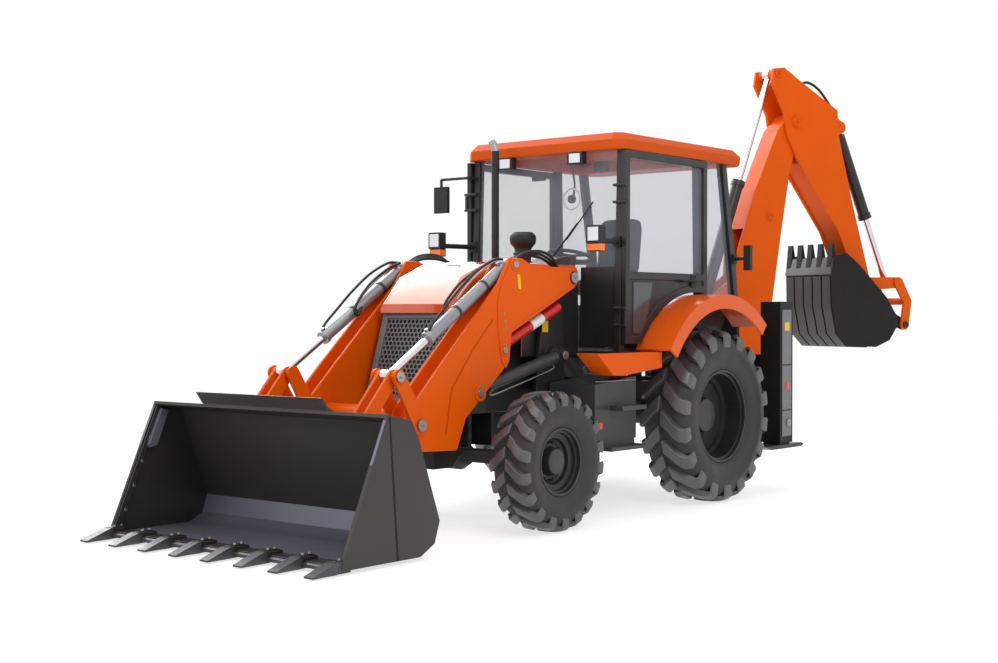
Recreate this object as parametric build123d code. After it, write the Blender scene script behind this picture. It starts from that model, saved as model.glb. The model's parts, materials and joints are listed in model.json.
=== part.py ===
from build123d import *
from math import cos, hypot, pi, radians, sin, sqrt
import os

# Millimetres. X runs forward, Y to the left, Z up. Places along X are measured from the rear axle,
# and the finished machine is then set with its origin under the middle of its whole length.
REAR_AXLE_X = -448
RUNNING_GAP = 0.4

# Wheels and axles
WHEELBASE = 2173
FRONT_TYRE_R = 491
FRONT_TYRE_WIDTH = 320
FRONT_TRACK_HALF = 940
FRONT_RIM_R = 240
REAR_TYRE_R = 697
REAR_TYRE_WIDTH = 430
REAR_TRACK_HALF = 890
REAR_RIM_R = 375
KINGPIN_Y = 700
KINGPIN_R = 32
STEER_ANGLE = 32
AXLE_TUBE_R = 95
LUG_COUNT = 18

# Main frame
RAIL_INNER_Y = 250
RAIL_OUTER_Y = 330
RAIL_LOW_Z = 800
RAIL_TOP_Z = 960
RAIL_REAR_X = -930
RAIL_FRONT_X = 2400
NOSE_FRONT_X = 2690
NOSE_LOW_Z = 430
TOW_PLATE_Z = (RAIL_LOW_Z - 110, RAIL_LOW_Z - 70)
TOW_PIN_R = 20
TOW_PIN_X = 2750
TOWER_INNER_Y = 372
TOWER_PLATE = 40

# Engine and gearbox
ENGINE_REAR_X = 1360
ENGINE_FRONT_X = 2380
ENGINE_HALF_WIDTH = 235
ENGINE_TOP_Z = 1420
ENGINE_LOW_Z = 812
GEARBOX_REAR_X = 420
GEARBOX_LOW_Z = 560

# Front bodywork
HOOD_HALF_WIDTH = 360
HOOD_REAR_X = 1752
HOOD_TOP_Z = 1909
HOOD_SHEET = 14
HOOD_ROUND = 70
HOOD_SIDE_LOW_Z = 1430
GRILLE_TOP_X = 2483
GRILLE_TOP_Z = 1525 - RUNNING_GAP
GRILLE_LOW_X = 2686
GRILLE_LOW_Z = 880
GRILLE_DEPTH = 55
GRILLE_BARS = 12
COWL_FRONT_X = 1742
COWL_LOW_Z = 1200
EXHAUST_X = 1268
EXHAUST_Y = -290
EXHAUST_R = 30
EXHAUST_TOP_Z = 2914
PRECLEANER_X = 1440
PRECLEANER_Y = 130
PRECLEANER_HEIGHT = 246
TANK_FRONT_X = 1500
TANK_REAR_X = 960
TANK_INNER_Y = 430
TANK_OUTER_Y = 860
TANK_LOW_Z = 575
TANK_TOP_Z = 1020
STEP_OUTER_Y = 985
SKIRT_OUTER_Y = 950
FENDER_R = 985
FENDER_SHEET = 22
FENDER_OUTER_Y = 1085
FENDER_FRONT_ANGLE = 34
FENDER_REAR_ANGLE = 132
ARCH_R = 760
ARCH_INNER_Y = 645

# Cab
CAB_HALF_WIDTH = 755
PILLAR = 62
POST_LEAN = 52
CAB_FRONT_X = 1032
CAB_FLOOR_Z = 1235
CAB_FLOOR_THICK = 50
CAB_SHELF_Z = 1600
CAB_SHELF_X = 300
CAB_TOP_Z = 2790
ROOF_TOP_Z = 2925
ROOF_FRONT_X = 1075
ROOF_REAR_X = -790
ROOF_HALF_WIDTH = 800
ROOF_SHEET = 24
B_PILLAR_X = -125
C_PILLAR_TOP_X = -510
C_PILLAR_LOW_X = -725
DOOR_HINGE_HEIGHTS = (1500, 2450)
DOOR_KNUCKLE = 110
DOOR_THICK = 42
DOOR_GAP = 6
DOOR_LOW_Z = 1291
DOOR_EDGE_R = FENDER_R + 17
DOOR_RAIL = 58
DOOR_FOOT = 120
DOOR_WINDOW_LOW_Z = 1850
GLASS = 6
DOOR_FRONT_X = CAB_FRONT_X - 14
DOOR_REAR_X = B_PILLAR_X - 40
DOOR_TOP_Z = CAB_TOP_Z - 8
DOOR_HINGE = (DOOR_FRONT_X + 6, CAB_HALF_WIDTH + DOOR_GAP + DOOR_THICK)

# Loader arms and their cylinders
ARM_Y = 505
ARM_WIDTH = 170
ARM_CHEEK = 25
ARM_PIVOT = (1410, 1797)
ARM_PIVOT_R = 72
LIFT_BASE = (1463, 1210)
LIFT_EYE = (2500, 968)
TILT_BASE = (2112, 1878)
LEVER_PIVOT = (3135, 780)
KNEE = (3340, 1109)
BUCKET_PIVOT = (3440, 430)
LIFT_BARREL_R = 46
LIFT_ROD_R = 28
TILT_BARREL_R = 44
TILT_ROD_R = 27
CYLINDER_EYE_R = 46
CYLINDER_EYE_HALF = 34
CYLINDER_PIN_R = 21
STRUT_R = 42
LINK_PLATE = 24
CROSS_TUBE = (2960, 800)
CROSS_TUBE_R = 85

# Loader bucket
BUCKET_HALF_WIDTH = 1120
BUCKET_SHEET = 22
BUCKET_FLOOR_Z = 26
BUCKET_LIP_X = 4373
TOOTH_TIP_X = 4590
TOOTH_COUNT = 8
TOOTH_WIDTH = 78

# Backhoe frame, legs and carriage
FRAME_FRONT_X = -930
FRAME_REAR_X = -1150
LEG_HOUSING_INNER_Y = 868
LEG_HOUSING_OUTER_Y = 1062
LEG_HOUSING_WALL = 18
LEG_HOUSING_LOW_Z = 415
LEG_HOUSING_TOP_Z = 1630
LEG_GAP = 0.6
LEG_TRAVEL = 520
FOOT_LOW_Z = 368
FOOT_THICK = 34
FOOT_FRONT_X = -690
FOOT_REAR_X = -1320
FRAME_LOW_RAIL_Z = 560
FRAME_TOP_RAIL_Z = 1040
FRAME_RAIL_HEIGHT = 130
CARRIAGE_HALF_WIDTH = 290
SHIFT_TRAVEL = 540
SWING_X = -1380
SWING_REST = 22
KINGPIN_BORE_R = 48

# Backhoe in its own plane: reach behind the swing axis, and height
BOOM_FOOT = (480, 950)
BOOM_TIP = (998, 3349)
BOOM_CYLINDER_BASE = (185, 1195)
BOOM_CYLINDER_EYE = (700, 2450)
DIPPER_CYLINDER_BASE = (20, 1640)
DIPPER_CYLINDER_EYE = (780, 3790)
HOE_CYLINDER_BASE = (1610, 3340)
GUIDE_PIVOT = (1911, 1821)
HOE_KNEE = (2255, 1835)
HOE_LINK_PIN = (2335, 1420)
HOE_BUCKET_PIVOT = (2050, 1530)
BOOM_HALF_WIDTH = 110
BOOM_PLATE = 26
DIPPER_PLATE = 25
DIPPER_HALF_WIDTH = 141
HOE_BARREL_R = 56
HOE_ROD_R = 31
HOE_EYE_R = 52
HOE_EYE_HALF = 40
HOE_PIN_R = 22
HOE_BUCKET_HALF_WIDTH = 330
HOE_BUCKET_SHEET = 20
HOE_TOOTH_COUNT = 5
HOE_EAR_GAP = 6
KINGPOST_PLATE = 34

# Small things on the cab
HEAD_LAMP = (1393, 795, 2119)
ROOF_LAMP_Y = 352
REAR_LAMP = (-486, 1000, 1993)
MIRROR = (1085, -1030, 2560)
SEAT_X = 180
STEERING_WHEEL_R = 190


def side_plane(y):
    """The plane across the machine at one Y, with X to the right and Z up."""
    return Plane(origin=(0, y, 0), x_dir=(1, 0, 0), z_dir=(0, -1, 0))


def slab(sketch, y_low, y_high):
    """A flat piece with an outline in X and Z, from one Y to another."""
    return extrude(side_plane(y_high) * sketch, y_high - y_low)


def poly(*points):
    return make_face(Polyline(*points, close=True))


def disc(point, radius):
    return Pos(*point) * Circle(radius)


def bar(start, end, start_r, end_r):
    """The outline of a bar with round ends."""
    return make_hull((disc(start, start_r) + disc(end, end_r)).edges())


def block(x_low, x_high, y_low, y_high, z_low, z_high):
    centre = ((x_low + x_high) / 2, (y_low + y_high) / 2, (z_low + z_high) / 2)
    return Pos(*centre) * Box(x_high - x_low, y_high - y_low, z_high - z_low)


def rod(start, end, radius):
    """A round bar between two points in space."""
    run = Vector(*end) - Vector(*start)
    return extrude(Plane(origin=start, z_dir=run) * Circle(radius), run.length)


def across(point, y_low, y_high, radius):
    """A round pin or boss across the machine."""
    return slab(disc(point, radius), y_low, y_high)


def both(shape):
    """A left piece with its mirror image."""
    return shape + mirror(shape, about=Plane.XZ)


def toward(start, end, distance):
    """The point at a distance from start on the way to end."""
    length = hypot(end[0] - start[0], end[1] - start[1])
    return (
        start[0] + (end[0] - start[0]) * distance / length,
        start[1] + (end[1] - start[1]) * distance / length,
    )


def cylinder(base, eye, y, barrel_r, rod_r, barrel_length, rod_inside, eye_r, eye_half, pin_r):
    """The barrel and the rod of one hydraulic cylinder, at one Y, from its base pin to its rod eye."""
    def at(distance):
        x, z = toward(base, eye, distance)
        return (x, y, z)
    length = hypot(eye[0] - base[0], eye[1] - base[1])
    gland = 1.16 * barrel_r
    shoulder = 1.5 * eye_r
    barrel = rod(at(shoulder), at(barrel_length), barrel_r) + rod(at(0.5 * eye_r), at(shoulder),
                                                                  0.85 * eye_half)
    barrel += rod(at(barrel_length - 0.9 * barrel_r), at(barrel_length), gland)
    barrel += across(base, y - eye_half, y + eye_half, eye_r)
    barrel -= rod(at(eye_r + barrel_r), at(barrel_length + barrel_r), rod_r + RUNNING_GAP)
    barrel -= across(base, y - eye_half - 1, y + eye_half + 1, pin_r + RUNNING_GAP)
    stem = rod(at(rod_inside), at(length - 0.5 * eye_r), rod_r)
    stem += across(eye, y - eye_half, y + eye_half, eye_r)
    return barrel, stem


def turned(*points):
    """A solid turned about X from an outline of places along X and radii."""
    return revolve(make_face(Polyline(*points, close=True)), axis=Axis.X)


def tyre(radius, width, rim_r, lug_height, lead):
    """A tyre of flat facets: two staggered rows of slanting lugs on a carcass, standing on a whole facet."""
    sectors = 2 * LUG_COUNT
    step = 2 * pi / sectors
    crest = radius / cos(step / 2)
    floor = crest - lug_height
    places = {
        "crown": (0.05, crest, 0), "crown_low": (0.05, floor, 0), "edge": (0.38, crest, 1),
        "edge_low": (0.38, floor, 1),
        "end": (0.5, 0.93 * radius, 1), "end_low": (0.455, 0.87 * radius, 1),
        "wall": (0.485, 0.79 * radius, 1),
        "bead": (0.46, rim_r + 0.10 * radius, 1), "bore": (0.36, rim_r / cos(step / 2), 1),
    }

    def corner(name, side, sector):
        share, r, shift = places[name]
        angle = lead * (sector + shift + 0.5) * step - pi / 2
        return (side * share * width, r * cos(angle), r * sin(angle))

    def facet(*corners):
        return Face(Wire.make_polygon([Vector(*point) for point in corners], close=True))

    def quad(low, high, side, sector):
        """A strip of one sector between two places, as one facet where it is flat and else as two."""
        a, b = corner(low, side, sector), corner(low, side, sector + 1)
        c, d = corner(high, side, sector + 1), corner(high, side, sector)
        flat = places[low][2] == places[high][2]
        return [facet(a, b, c, d)] if flat else [facet(a, b, c), facet(a, c, d)]

    facets = []
    for sector in range(sectors):
        facets += [facet(corner("crown_low", -1, sector), corner("crown_low", -1, sector + 1),
                         corner("crown_low", 1, sector + 1), corner("crown_low", 1, sector))]
        facets += [facet(corner("bore", -1, sector), corner("bore", -1, sector + 1),
                         corner("bore", 1, sector + 1), corner("bore", 1, sector))]
        for side in (1, -1):
            raised = (sector + (side < 0)) % 2 == 0
            path = ["crown", "edge", "end"] if raised else ["crown_low", "edge_low", "end_low"]
            path += ["wall", "bead", "bore"]
            for low, high in zip(path, path[1:]):
                facets += quad(low, high, side, sector)
            if raised:
                facets += quad("crown_low", "crown", side, sector)
            foot = [corner(name, side, sector) for name in ("crown_low", "edge_low", "end_low", "wall",
                                                            "end", "edge", "crown")]
            facets += [facet(foot[0], foot[1], foot[5]), facet(foot[0], foot[5], foot[6]),
                       facet(*foot[1:6])]
    return Solid(Shell(facets))


def rim(rim_r, width, hub_r, dish):
    """A deep wheel rim: a stepped barrel, a dished disc and a round hub, with the outer side towards +X."""
    half = 0.36 * width
    sheet = 16
    outer = rim_r - RUNNING_GAP
    well = outer - sheet - 24
    face = dish + sheet
    return turned(
        (-half, outer - sheet), (-half, outer), (half, outer), (half, outer - sheet),
        (half - 26, outer - sheet - 4),
        (half - 30, outer - sheet - 18), (face + 34, well), (face + 26, well - 36), (face, well - 44),
        (face - 22, hub_r + 26),
        (face - 10, hub_r + 18), (face - 10, hub_r), (dish + 55, hub_r - 15), (dish + 55, 0),
        (dish - 40, 0), (dish - 40, hub_r - 10),
        (dish, outer - sheet - 8),
    )


def wheel_place(x, y, z):
    """Turns a wheel made about X so that its outer side faces out, and sets it on its axle."""
    return Pos(x, y, z) * Rot(0, 0, 90 if y > 0 else -90)


def wheels():
    nodes = {}
    for side, sign in (("left", 1), ("right", -1)):
        front = wheel_place(WHEELBASE, sign * FRONT_TRACK_HALF, FRONT_TYRE_R)
        nodes["front_tyre_" + side] = front * tyre(FRONT_TYRE_R, FRONT_TYRE_WIDTH, FRONT_RIM_R, 36, sign)
        nodes["front_rim_" + side] = front * rim(FRONT_RIM_R, FRONT_TYRE_WIDTH, 105, 10)
        rear = wheel_place(0, sign * REAR_TRACK_HALF, REAR_TYRE_R)
        nodes["rear_tyre_" + side] = rear * tyre(REAR_TYRE_R, REAR_TYRE_WIDTH, REAR_RIM_R, 40, sign)
        nodes["rear_rim_" + side] = rear * rim(REAR_RIM_R, REAR_TYRE_WIDTH, 150, -60)
    return nodes


HUB_FACE_FRONT = FRONT_TRACK_HALF + 10 - 40
HUB_FACE_REAR = REAR_TRACK_HALF - 60 - 40


def axles():
    """The rear axle housing and the front beam, each with its differential."""
    rear = rod((0, -HUB_FACE_REAR + RUNNING_GAP, REAR_TYRE_R),
               (0, HUB_FACE_REAR - RUNNING_GAP, REAR_TYRE_R), AXLE_TUBE_R)
    rear += Pos(0, 0, REAR_TYRE_R) * Rot(0, 0, 90) * turned((-170, 0), (-170, 110), (-95, 170), (95, 170),
                                                            (170, 110), (170, 0))
    saddle = block(-110, 110, RAIL_INNER_Y, RAIL_OUTER_Y, REAR_TYRE_R, RAIL_LOW_Z)
    rear += both(saddle)
    z = FRONT_TYRE_R
    beam_end = KINGPIN_Y - 62
    beam = block(WHEELBASE - 75, WHEELBASE + 75, -beam_end, beam_end, z - 44, z + 44)
    beam += Pos(WHEELBASE, 60, z) * Rot(0, 0, 90) * turned((-150, 0), (-150, 70), (-80, 112), (80, 112),
                                                           (150, 70), (150, 0))
    beam += block(WHEELBASE - 110, WHEELBASE + 110, -70, 70, z - 60, RAIL_LOW_Z - 130)
    tongue = slab(poly((WHEELBASE - 60, z - 44), (WHEELBASE + 60, z - 44), (WHEELBASE + 60, z + 44),
                       (WHEELBASE - 60, z + 44)),
                  beam_end - 5, KINGPIN_Y + 35)
    tongue -= Pos(WHEELBASE, KINGPIN_Y, z) * Cylinder(KINGPIN_R + RUNNING_GAP, 200)
    beam += both(tongue)
    return Compound(children=[*rear.solids(), *beam.solids()])


def knuckle(sign):
    """A yoke with its kingpin round the axle's end, and the hub that carries the wheel."""
    z = FRONT_TYRE_R
    yoke = Pos(WHEELBASE, KINGPIN_Y, z) * Cylinder(KINGPIN_R, 250)
    for level in (z - 110, z + 50):
        yoke += block(WHEELBASE - 58, WHEELBASE + 58, KINGPIN_Y - 50, KINGPIN_Y + 110, level, level + 60)
    yoke += block(WHEELBASE - 58, WHEELBASE + 58, KINGPIN_Y + 70, KINGPIN_Y + 110, z - 110, z + 110)
    yoke += rod((WHEELBASE, KINGPIN_Y + 80, z), (WHEELBASE, HUB_FACE_FRONT - RUNNING_GAP, z), 88)
    return yoke if sign > 0 else mirror(yoke, about=Plane.XZ)


def main_frame():
    """Two rails with cross members, the nose block, the axle bracket and the loader towers."""
    frame = both(block(RAIL_REAR_X, RAIL_FRONT_X, RAIL_INNER_Y, RAIL_OUTER_Y, RAIL_LOW_Z, RAIL_TOP_Z))
    for x in (RAIL_REAR_X + 40, 330):
        frame += block(x, x + 60, -RAIL_OUTER_Y, RAIL_OUTER_Y, RAIL_LOW_Z, RAIL_TOP_Z)
    nose = slab(poly((RAIL_FRONT_X, NOSE_LOW_Z + 90), (RAIL_FRONT_X + 90, NOSE_LOW_Z),
                     (NOSE_FRONT_X, NOSE_LOW_Z),
                     (NOSE_FRONT_X, GRILLE_LOW_Z),
                     (RAIL_FRONT_X, GRILLE_LOW_Z)), -RAIL_OUTER_Y, RAIL_OUTER_Y)
    frame += nose
    frame -= block(WHEELBASE - 110, WHEELBASE + 110, -RAIL_OUTER_Y, RAIL_OUTER_Y, 0, RAIL_LOW_Z - 130)
    tow = block(NOSE_FRONT_X - 5, TOW_PIN_X, -60, 60, *TOW_PLATE_Z)
    middle_z = (TOW_PLATE_Z[0] + TOW_PLATE_Z[1]) / 2
    tow += Pos(TOW_PIN_X, 0, middle_z) * Cylinder(60, TOW_PLATE_Z[1] - TOW_PLATE_Z[0])
    frame += tow - Pos(TOW_PIN_X, 0, middle_z) * Cylinder(TOW_PIN_R, 200)
    for x in (WHEELBASE - 150, WHEELBASE + 110):
        frame += block(x, x + 40, -RAIL_OUTER_Y, RAIL_OUTER_Y, FRONT_TYRE_R + 65, RAIL_LOW_Z + 5)
    for foot_x in (LIFT_BASE[0] - 190, LIFT_BASE[0] + 90):
        frame += both(block(foot_x, foot_x + 80, RAIL_OUTER_Y - 5, TOWER_INNER_Y + TOWER_PLATE, RAIL_LOW_Z,
                            RAIL_TOP_Z))
    tower = slab(poly((LIFT_BASE[0] - 210, RAIL_LOW_Z), (LIFT_BASE[0] + 190, RAIL_LOW_Z),
                      (LIFT_BASE[0] + 120, 1330),
                      (ARM_PIVOT[0] + 80, ARM_PIVOT[1]), (ARM_PIVOT[0] - 80, ARM_PIVOT[1]),
                      (LIFT_BASE[0] - 170, 1330))
                 + disc(ARM_PIVOT, 80), TOWER_INNER_Y, TOWER_INNER_Y + TOWER_PLATE)
    arm_inner = ARM_Y - ARM_WIDTH / 2
    arm_outer = ARM_Y + ARM_WIDTH / 2
    tower += across(ARM_PIVOT, TOWER_INNER_Y, arm_outer + 14, 34)
    tower += across(ARM_PIVOT, arm_outer + RUNNING_GAP, arm_outer + 14, 50)
    eye_inner = ARM_Y - CYLINDER_EYE_HALF - RUNNING_GAP
    tower += across(LIFT_BASE, TOWER_INNER_Y, eye_inner, 62)
    tower += across(LIFT_BASE, TOWER_INNER_Y, ARM_Y + CYLINDER_EYE_HALF + 20, CYLINDER_PIN_R)
    tower += across(LIFT_BASE, ARM_Y + CYLINDER_EYE_HALF + RUNNING_GAP, ARM_Y + CYLINDER_EYE_HALF + 20, 40)
    return frame + both(tower)


def engine():
    """The engine with its gearbox behind it, as one plain block on four feet."""
    body = block(ENGINE_REAR_X, ENGINE_FRONT_X, -ENGINE_HALF_WIDTH, ENGINE_HALF_WIDTH, ENGINE_LOW_Z,
                 ENGINE_TOP_Z)
    body += block(GEARBOX_REAR_X, ENGINE_REAR_X, -ENGINE_HALF_WIDTH, ENGINE_HALF_WIDTH, GEARBOX_LOW_Z,
                  RAIL_TOP_Z)
    for x in (GEARBOX_REAR_X + 120, ENGINE_FRONT_X - 260):
        body += block(x, x + 110, -RAIL_OUTER_Y, RAIL_OUTER_Y, RAIL_TOP_Z, RAIL_TOP_Z + 40)
    return body


HOOD_CREST_X = 2090
HOOD_CREST_Z = 1905
HOOD_BROW = (2540, 1592)
HOOD_LIP = (2515, GRILLE_TOP_Z + RUNNING_GAP)
HOOD_HINGE = (HOOD_REAR_X, HOOD_TOP_Z)


def hood_outline(inset):
    top = HOOD_TOP_Z - inset
    return poly((HOOD_REAR_X, HOOD_SIDE_LOW_Z), (HOOD_REAR_X, top), (HOOD_CREST_X, HOOD_CREST_Z - inset),
                (2360, 1795 - inset), (HOOD_BROW[0] - inset, HOOD_BROW[1]),
                (HOOD_LIP[0] - inset, HOOD_LIP[1]),
                (GRILLE_TOP_X - GRILLE_DEPTH - 50, HOOD_LIP[1]),
                (GRILLE_TOP_X - GRILLE_DEPTH - 50, HOOD_SIDE_LOW_Z))


def hood():
    """The sheet engine cover, open below and behind, with rounded upper edges."""
    def rounded(inset):
        body = slab(hood_outline(inset), -HOOD_HALF_WIDTH + inset, HOOD_HALF_WIDTH - inset)
        upper = [edge for edge in body.edges() if edge.center().Z > HOOD_BROW[1] and abs(edge.center().Y) > 1]
        return fillet([edge for edge in upper if edge.center().X > HOOD_REAR_X + 1], HOOD_ROUND - inset)
    shell = rounded(0)
    inner = rounded(HOOD_SHEET)
    mouth = block(HOOD_REAR_X - 50, GRILLE_TOP_X - GRILLE_DEPTH - 50 - HOOD_SHEET,
                  -HOOD_HALF_WIDTH + HOOD_SHEET,
                  HOOD_HALF_WIDTH - HOOD_SHEET, HOOD_SIDE_LOW_Z - 50, HOOD_LIP[1])
    return shell - inner - mouth


def grille_strip(low, high, front, rear, y_low, y_high):
    """A slab along the guard's slope, between two shares of its height and two depths behind its face."""
    def spot(share, depth):
        return (GRILLE_LOW_X + (GRILLE_TOP_X - GRILLE_LOW_X) * share - depth,
                GRILLE_LOW_Z + (GRILLE_TOP_Z - GRILLE_LOW_Z) * share)
    return slab(poly(spot(low, rear), spot(low, front), spot(high, front), spot(high, rear)), y_low, y_high)


def grille():
    """The radiator guard that leans back: a frame round a sunk core, with level bars across it."""
    half = HOOD_HALF_WIDTH - 2
    guard = grille_strip(0, 1, 0, GRILLE_DEPTH, -half, half)
    guard -= grille_strip(0.07, 0.95, -1, 32, -half + 52, half - 52)
    for i in range(GRILLE_BARS):
        low = 0.07 + 0.88 * (i + 0.6) / GRILLE_BARS
        guard += grille_strip(low, low + 0.02, 14, 34, -half + 50, half - 50)
    return guard


def cowl():
    """The fixed cover between the hood and the cab, open below, with a low scuttle before the windscreen."""
    half = HOOD_HALF_WIDTH
    rear = CAB_FRONT_X + RUNNING_GAP
    top = HOOD_TOP_Z

    def rounded(x_low, x_high, inset):
        body = block(x_low, x_high, -half + inset, half - inset, COWL_LOW_Z - inset, top - inset)
        return fillet(body.edges().filter_by(Axis.X).sort_by(Axis.Z)[-2:], HOOD_ROUND - inset)
    shell = rounded(rear, COWL_FRONT_X, 0) - rounded(rear + HOOD_SHEET, COWL_FRONT_X + HOOD_SHEET,
                                                     HOOD_SHEET)
    scuttle = poly((rear, top - 5), (rear, top + 70), (rear + 90, top + 62), (rear + 200, top + 38),
                   (rear + 300, top - 5))
    return shell + slab(scuttle, -half + 135, half - HOOD_ROUND)


def stacks():
    """The exhaust pipe with its curved end, and the air precleaner's bowl on its neck."""
    bend = 110
    knee = EXHAUST_TOP_Z - bend * sin(radians(55))
    path = Line((0, 0, HOOD_TOP_Z), (0, 0, knee))
    path += RadiusArc((0, 0, knee), (0, -bend * (1 - cos(radians(55))), EXHAUST_TOP_Z), -bend)
    pipe = Pos(EXHAUST_X, EXHAUST_Y, 0) * sweep(Plane(origin=(0, 0, HOOD_TOP_Z), z_dir=(0, 0, 1))
                                                * Circle(EXHAUST_R), path=path)
    pipe += Pos(EXHAUST_X, EXHAUST_Y, HOOD_TOP_Z + 20) * Cylinder(EXHAUST_R + 16, 40)
    bowl = turned((0, 0), (0, 72), (18, 72), (24, 62), (62, 62), (70, 76), (86, 76), (92, 64), (120, 66),
                  (158, 98), (196, 104), (222, 98),
                  (PRECLEANER_HEIGHT, 70), (PRECLEANER_HEIGHT, 0))
    cleaner = Pos(PRECLEANER_X, PRECLEANER_Y, HOOD_TOP_Z) * Rot(0, -90, 0) * bowl
    return Compound(children=[*pipe.solids(), *cleaner.solids()])


def side_tanks():
    """The tanks under the doors, each with two steps on its outer side."""
    body = slab(poly((TANK_REAR_X, TANK_LOW_Z), (TANK_FRONT_X, TANK_LOW_Z), (TANK_FRONT_X, TANK_TOP_Z - 20),
                     (TANK_REAR_X, TANK_TOP_Z + 30)), TANK_INNER_Y, TANK_OUTER_Y)
    body += block(TANK_REAR_X + 40, TANK_FRONT_X - 180, TANK_OUTER_Y, STEP_OUTER_Y, 800, 835)
    body += block(TANK_REAR_X + 20, TANK_FRONT_X - 40, TANK_OUTER_Y - 40, STEP_OUTER_Y, TANK_LOW_Z - 70,
                  TANK_LOW_Z - 40)
    body += block(TANK_REAR_X + 20, TANK_FRONT_X - 40, TANK_OUTER_Y - 40, TANK_OUTER_Y, TANK_LOW_Z - 60,
                  TANK_LOW_Z + 20)
    body += block(TANK_REAR_X + 60, TANK_REAR_X + 260, RAIL_OUTER_Y, TANK_INNER_Y + 5, RAIL_LOW_Z + 20,
                  RAIL_TOP_Z - 20)
    return both(body)


def skirts():
    """The orange sill panels below the doors."""
    panel = slab(poly((1600, 1231), (1385, 1064), (1250, 1060), (735, 1105), (735, 1231)),
                 CAB_HALF_WIDTH, SKIRT_OUTER_Y)
    cavity = slab(poly((1545, 1300), (1385, 1085), (1250, 1080), (755, 1124), (755, 1300)),
                  CAB_HALF_WIDTH - 1, SKIRT_OUTER_Y - 20)
    panel = panel - cavity
    panel += block(780, 1020, CAB_HALF_WIDTH - 60, SKIRT_OUTER_Y - 10, CAB_FLOOR_Z - CAB_FLOOR_THICK - 40,
                   CAB_FLOOR_Z - CAB_FLOOR_THICK)
    return both(panel)


def ring_sector(outer_r, inner_r, start_angle, end_angle):
    """A sector of a ring round the rear axle, as an outline in X and Z."""
    centre = (0, REAR_TYRE_R)

    def at(radius, angle):
        return (centre[0] + radius * cos(radians(angle)), centre[1] + radius * sin(radians(angle)))
    middle = (start_angle + end_angle) / 2
    outline = [
        ThreePointArc(at(outer_r, start_angle), at(outer_r, middle), at(outer_r, end_angle)),
        Line(at(outer_r, end_angle), at(inner_r, end_angle)),
        ThreePointArc(at(inner_r, end_angle), at(inner_r, middle), at(inner_r, start_angle)),
        Line(at(inner_r, start_angle), at(outer_r, start_angle)),
    ]
    return make_face(outline)


def fenders():
    """The curved covers over the rear wheels, each with an outer lip."""
    cover = slab(ring_sector(FENDER_R, FENDER_R - FENDER_SHEET, FENDER_FRONT_ANGLE, FENDER_REAR_ANGLE),
                 CAB_HALF_WIDTH + RUNNING_GAP, FENDER_OUTER_Y)
    cover += slab(ring_sector(FENDER_R, FENDER_R - 115, FENDER_FRONT_ANGLE, FENDER_REAR_ANGLE),
                  FENDER_OUTER_Y - FENDER_SHEET, FENDER_OUTER_Y)
    return both(cover)


def cab_floor():
    """The floor with its raised shelf over the rear axle, the walls between the fenders, and the back sill."""
    half = CAB_HALF_WIDTH
    floor = block(CAB_SHELF_X, CAB_FRONT_X, -half, half, CAB_FLOOR_Z - CAB_FLOOR_THICK, CAB_FLOOR_Z)
    floor += block(CAB_SHELF_X - 40, CAB_SHELF_X, -half, half, CAB_FLOOR_Z - CAB_FLOOR_THICK, CAB_SHELF_Z)
    floor += block(C_PILLAR_LOW_X - 45, CAB_SHELF_X, -half, half, CAB_SHELF_Z - 45, CAB_SHELF_Z)
    floor += block(C_PILLAR_LOW_X - 45, C_PILLAR_LOW_X, -half, half, 1240, CAB_SHELF_Z)
    for x in (420, C_PILLAR_LOW_X - 40):
        floor += both(block(x, x + 120, RAIL_INNER_Y, RAIL_OUTER_Y, RAIL_TOP_Z, 1250))
    wall = slab(ring_sector(FENDER_R - 1, ARCH_R, 55, 124), half - 30, half)
    wall -= block(-2000, 2000, 0, 2 * half, CAB_SHELF_Z, 3000)
    floor -= both(slab(disc((0, REAR_TYRE_R), ARCH_R), ARCH_INNER_Y, 2 * half))
    liner = slab(ring_sector(ARCH_R + 20, ARCH_R, 42, 138), ARCH_INNER_Y - 20, half)
    return floor + both(wall) + both(liner)


def pillar_front(z):
    """The front face of the leaning front post at one height."""
    return CAB_FRONT_X - POST_LEAN * (z - CAB_FLOOR_Z) / (CAB_TOP_Z - CAB_FLOOR_Z)


def cab_pillars():
    """Six posts of the cab, each a separate piece between floor and roof."""
    outer = CAB_HALF_WIDTH
    inner = outer - PILLAR
    front = slab(poly((CAB_FRONT_X - PILLAR, CAB_FLOOR_Z), (CAB_FRONT_X, CAB_FLOOR_Z),
                      (CAB_FRONT_X - POST_LEAN, CAB_TOP_Z),
                      (CAB_FRONT_X - POST_LEAN - PILLAR, CAB_TOP_Z)), inner, outer)
    hinge_x, hinge_y = DOOR_HINGE
    for height in DOOR_HINGE_HEIGHTS:
        for low in (height - DOOR_KNUCKLE / 2 - RUNNING_GAP - 20, height + DOOR_KNUCKLE / 2 + RUNNING_GAP):
            front += block(pillar_front(low) - 15, hinge_x + 18, inner, outer, low, low + 20)
            front += block(hinge_x + 4, hinge_x + 18, outer - 5, hinge_y + 13, low, low + 20)
    middle = slab(poly((B_PILLAR_X - PILLAR / 2 - 25, CAB_SHELF_Z),
                       (B_PILLAR_X + PILLAR / 2 - 25, CAB_SHELF_Z),
                       (B_PILLAR_X + PILLAR / 2, CAB_TOP_Z),
                       (B_PILLAR_X - PILLAR / 2, CAB_TOP_Z)), inner, outer)
    rear = slab(poly((C_PILLAR_LOW_X - 40, CAB_SHELF_Z), (C_PILLAR_LOW_X + 30, CAB_SHELF_Z),
                     (C_PILLAR_TOP_X + 30, CAB_TOP_Z), (C_PILLAR_TOP_X - 40, CAB_TOP_Z)), inner, outer)
    posts = []
    for post in (front, middle, rear):
        posts += [*post.solids(), *mirror(post, about=Plane.XZ).solids()]
    return Compound(children=posts)


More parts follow.
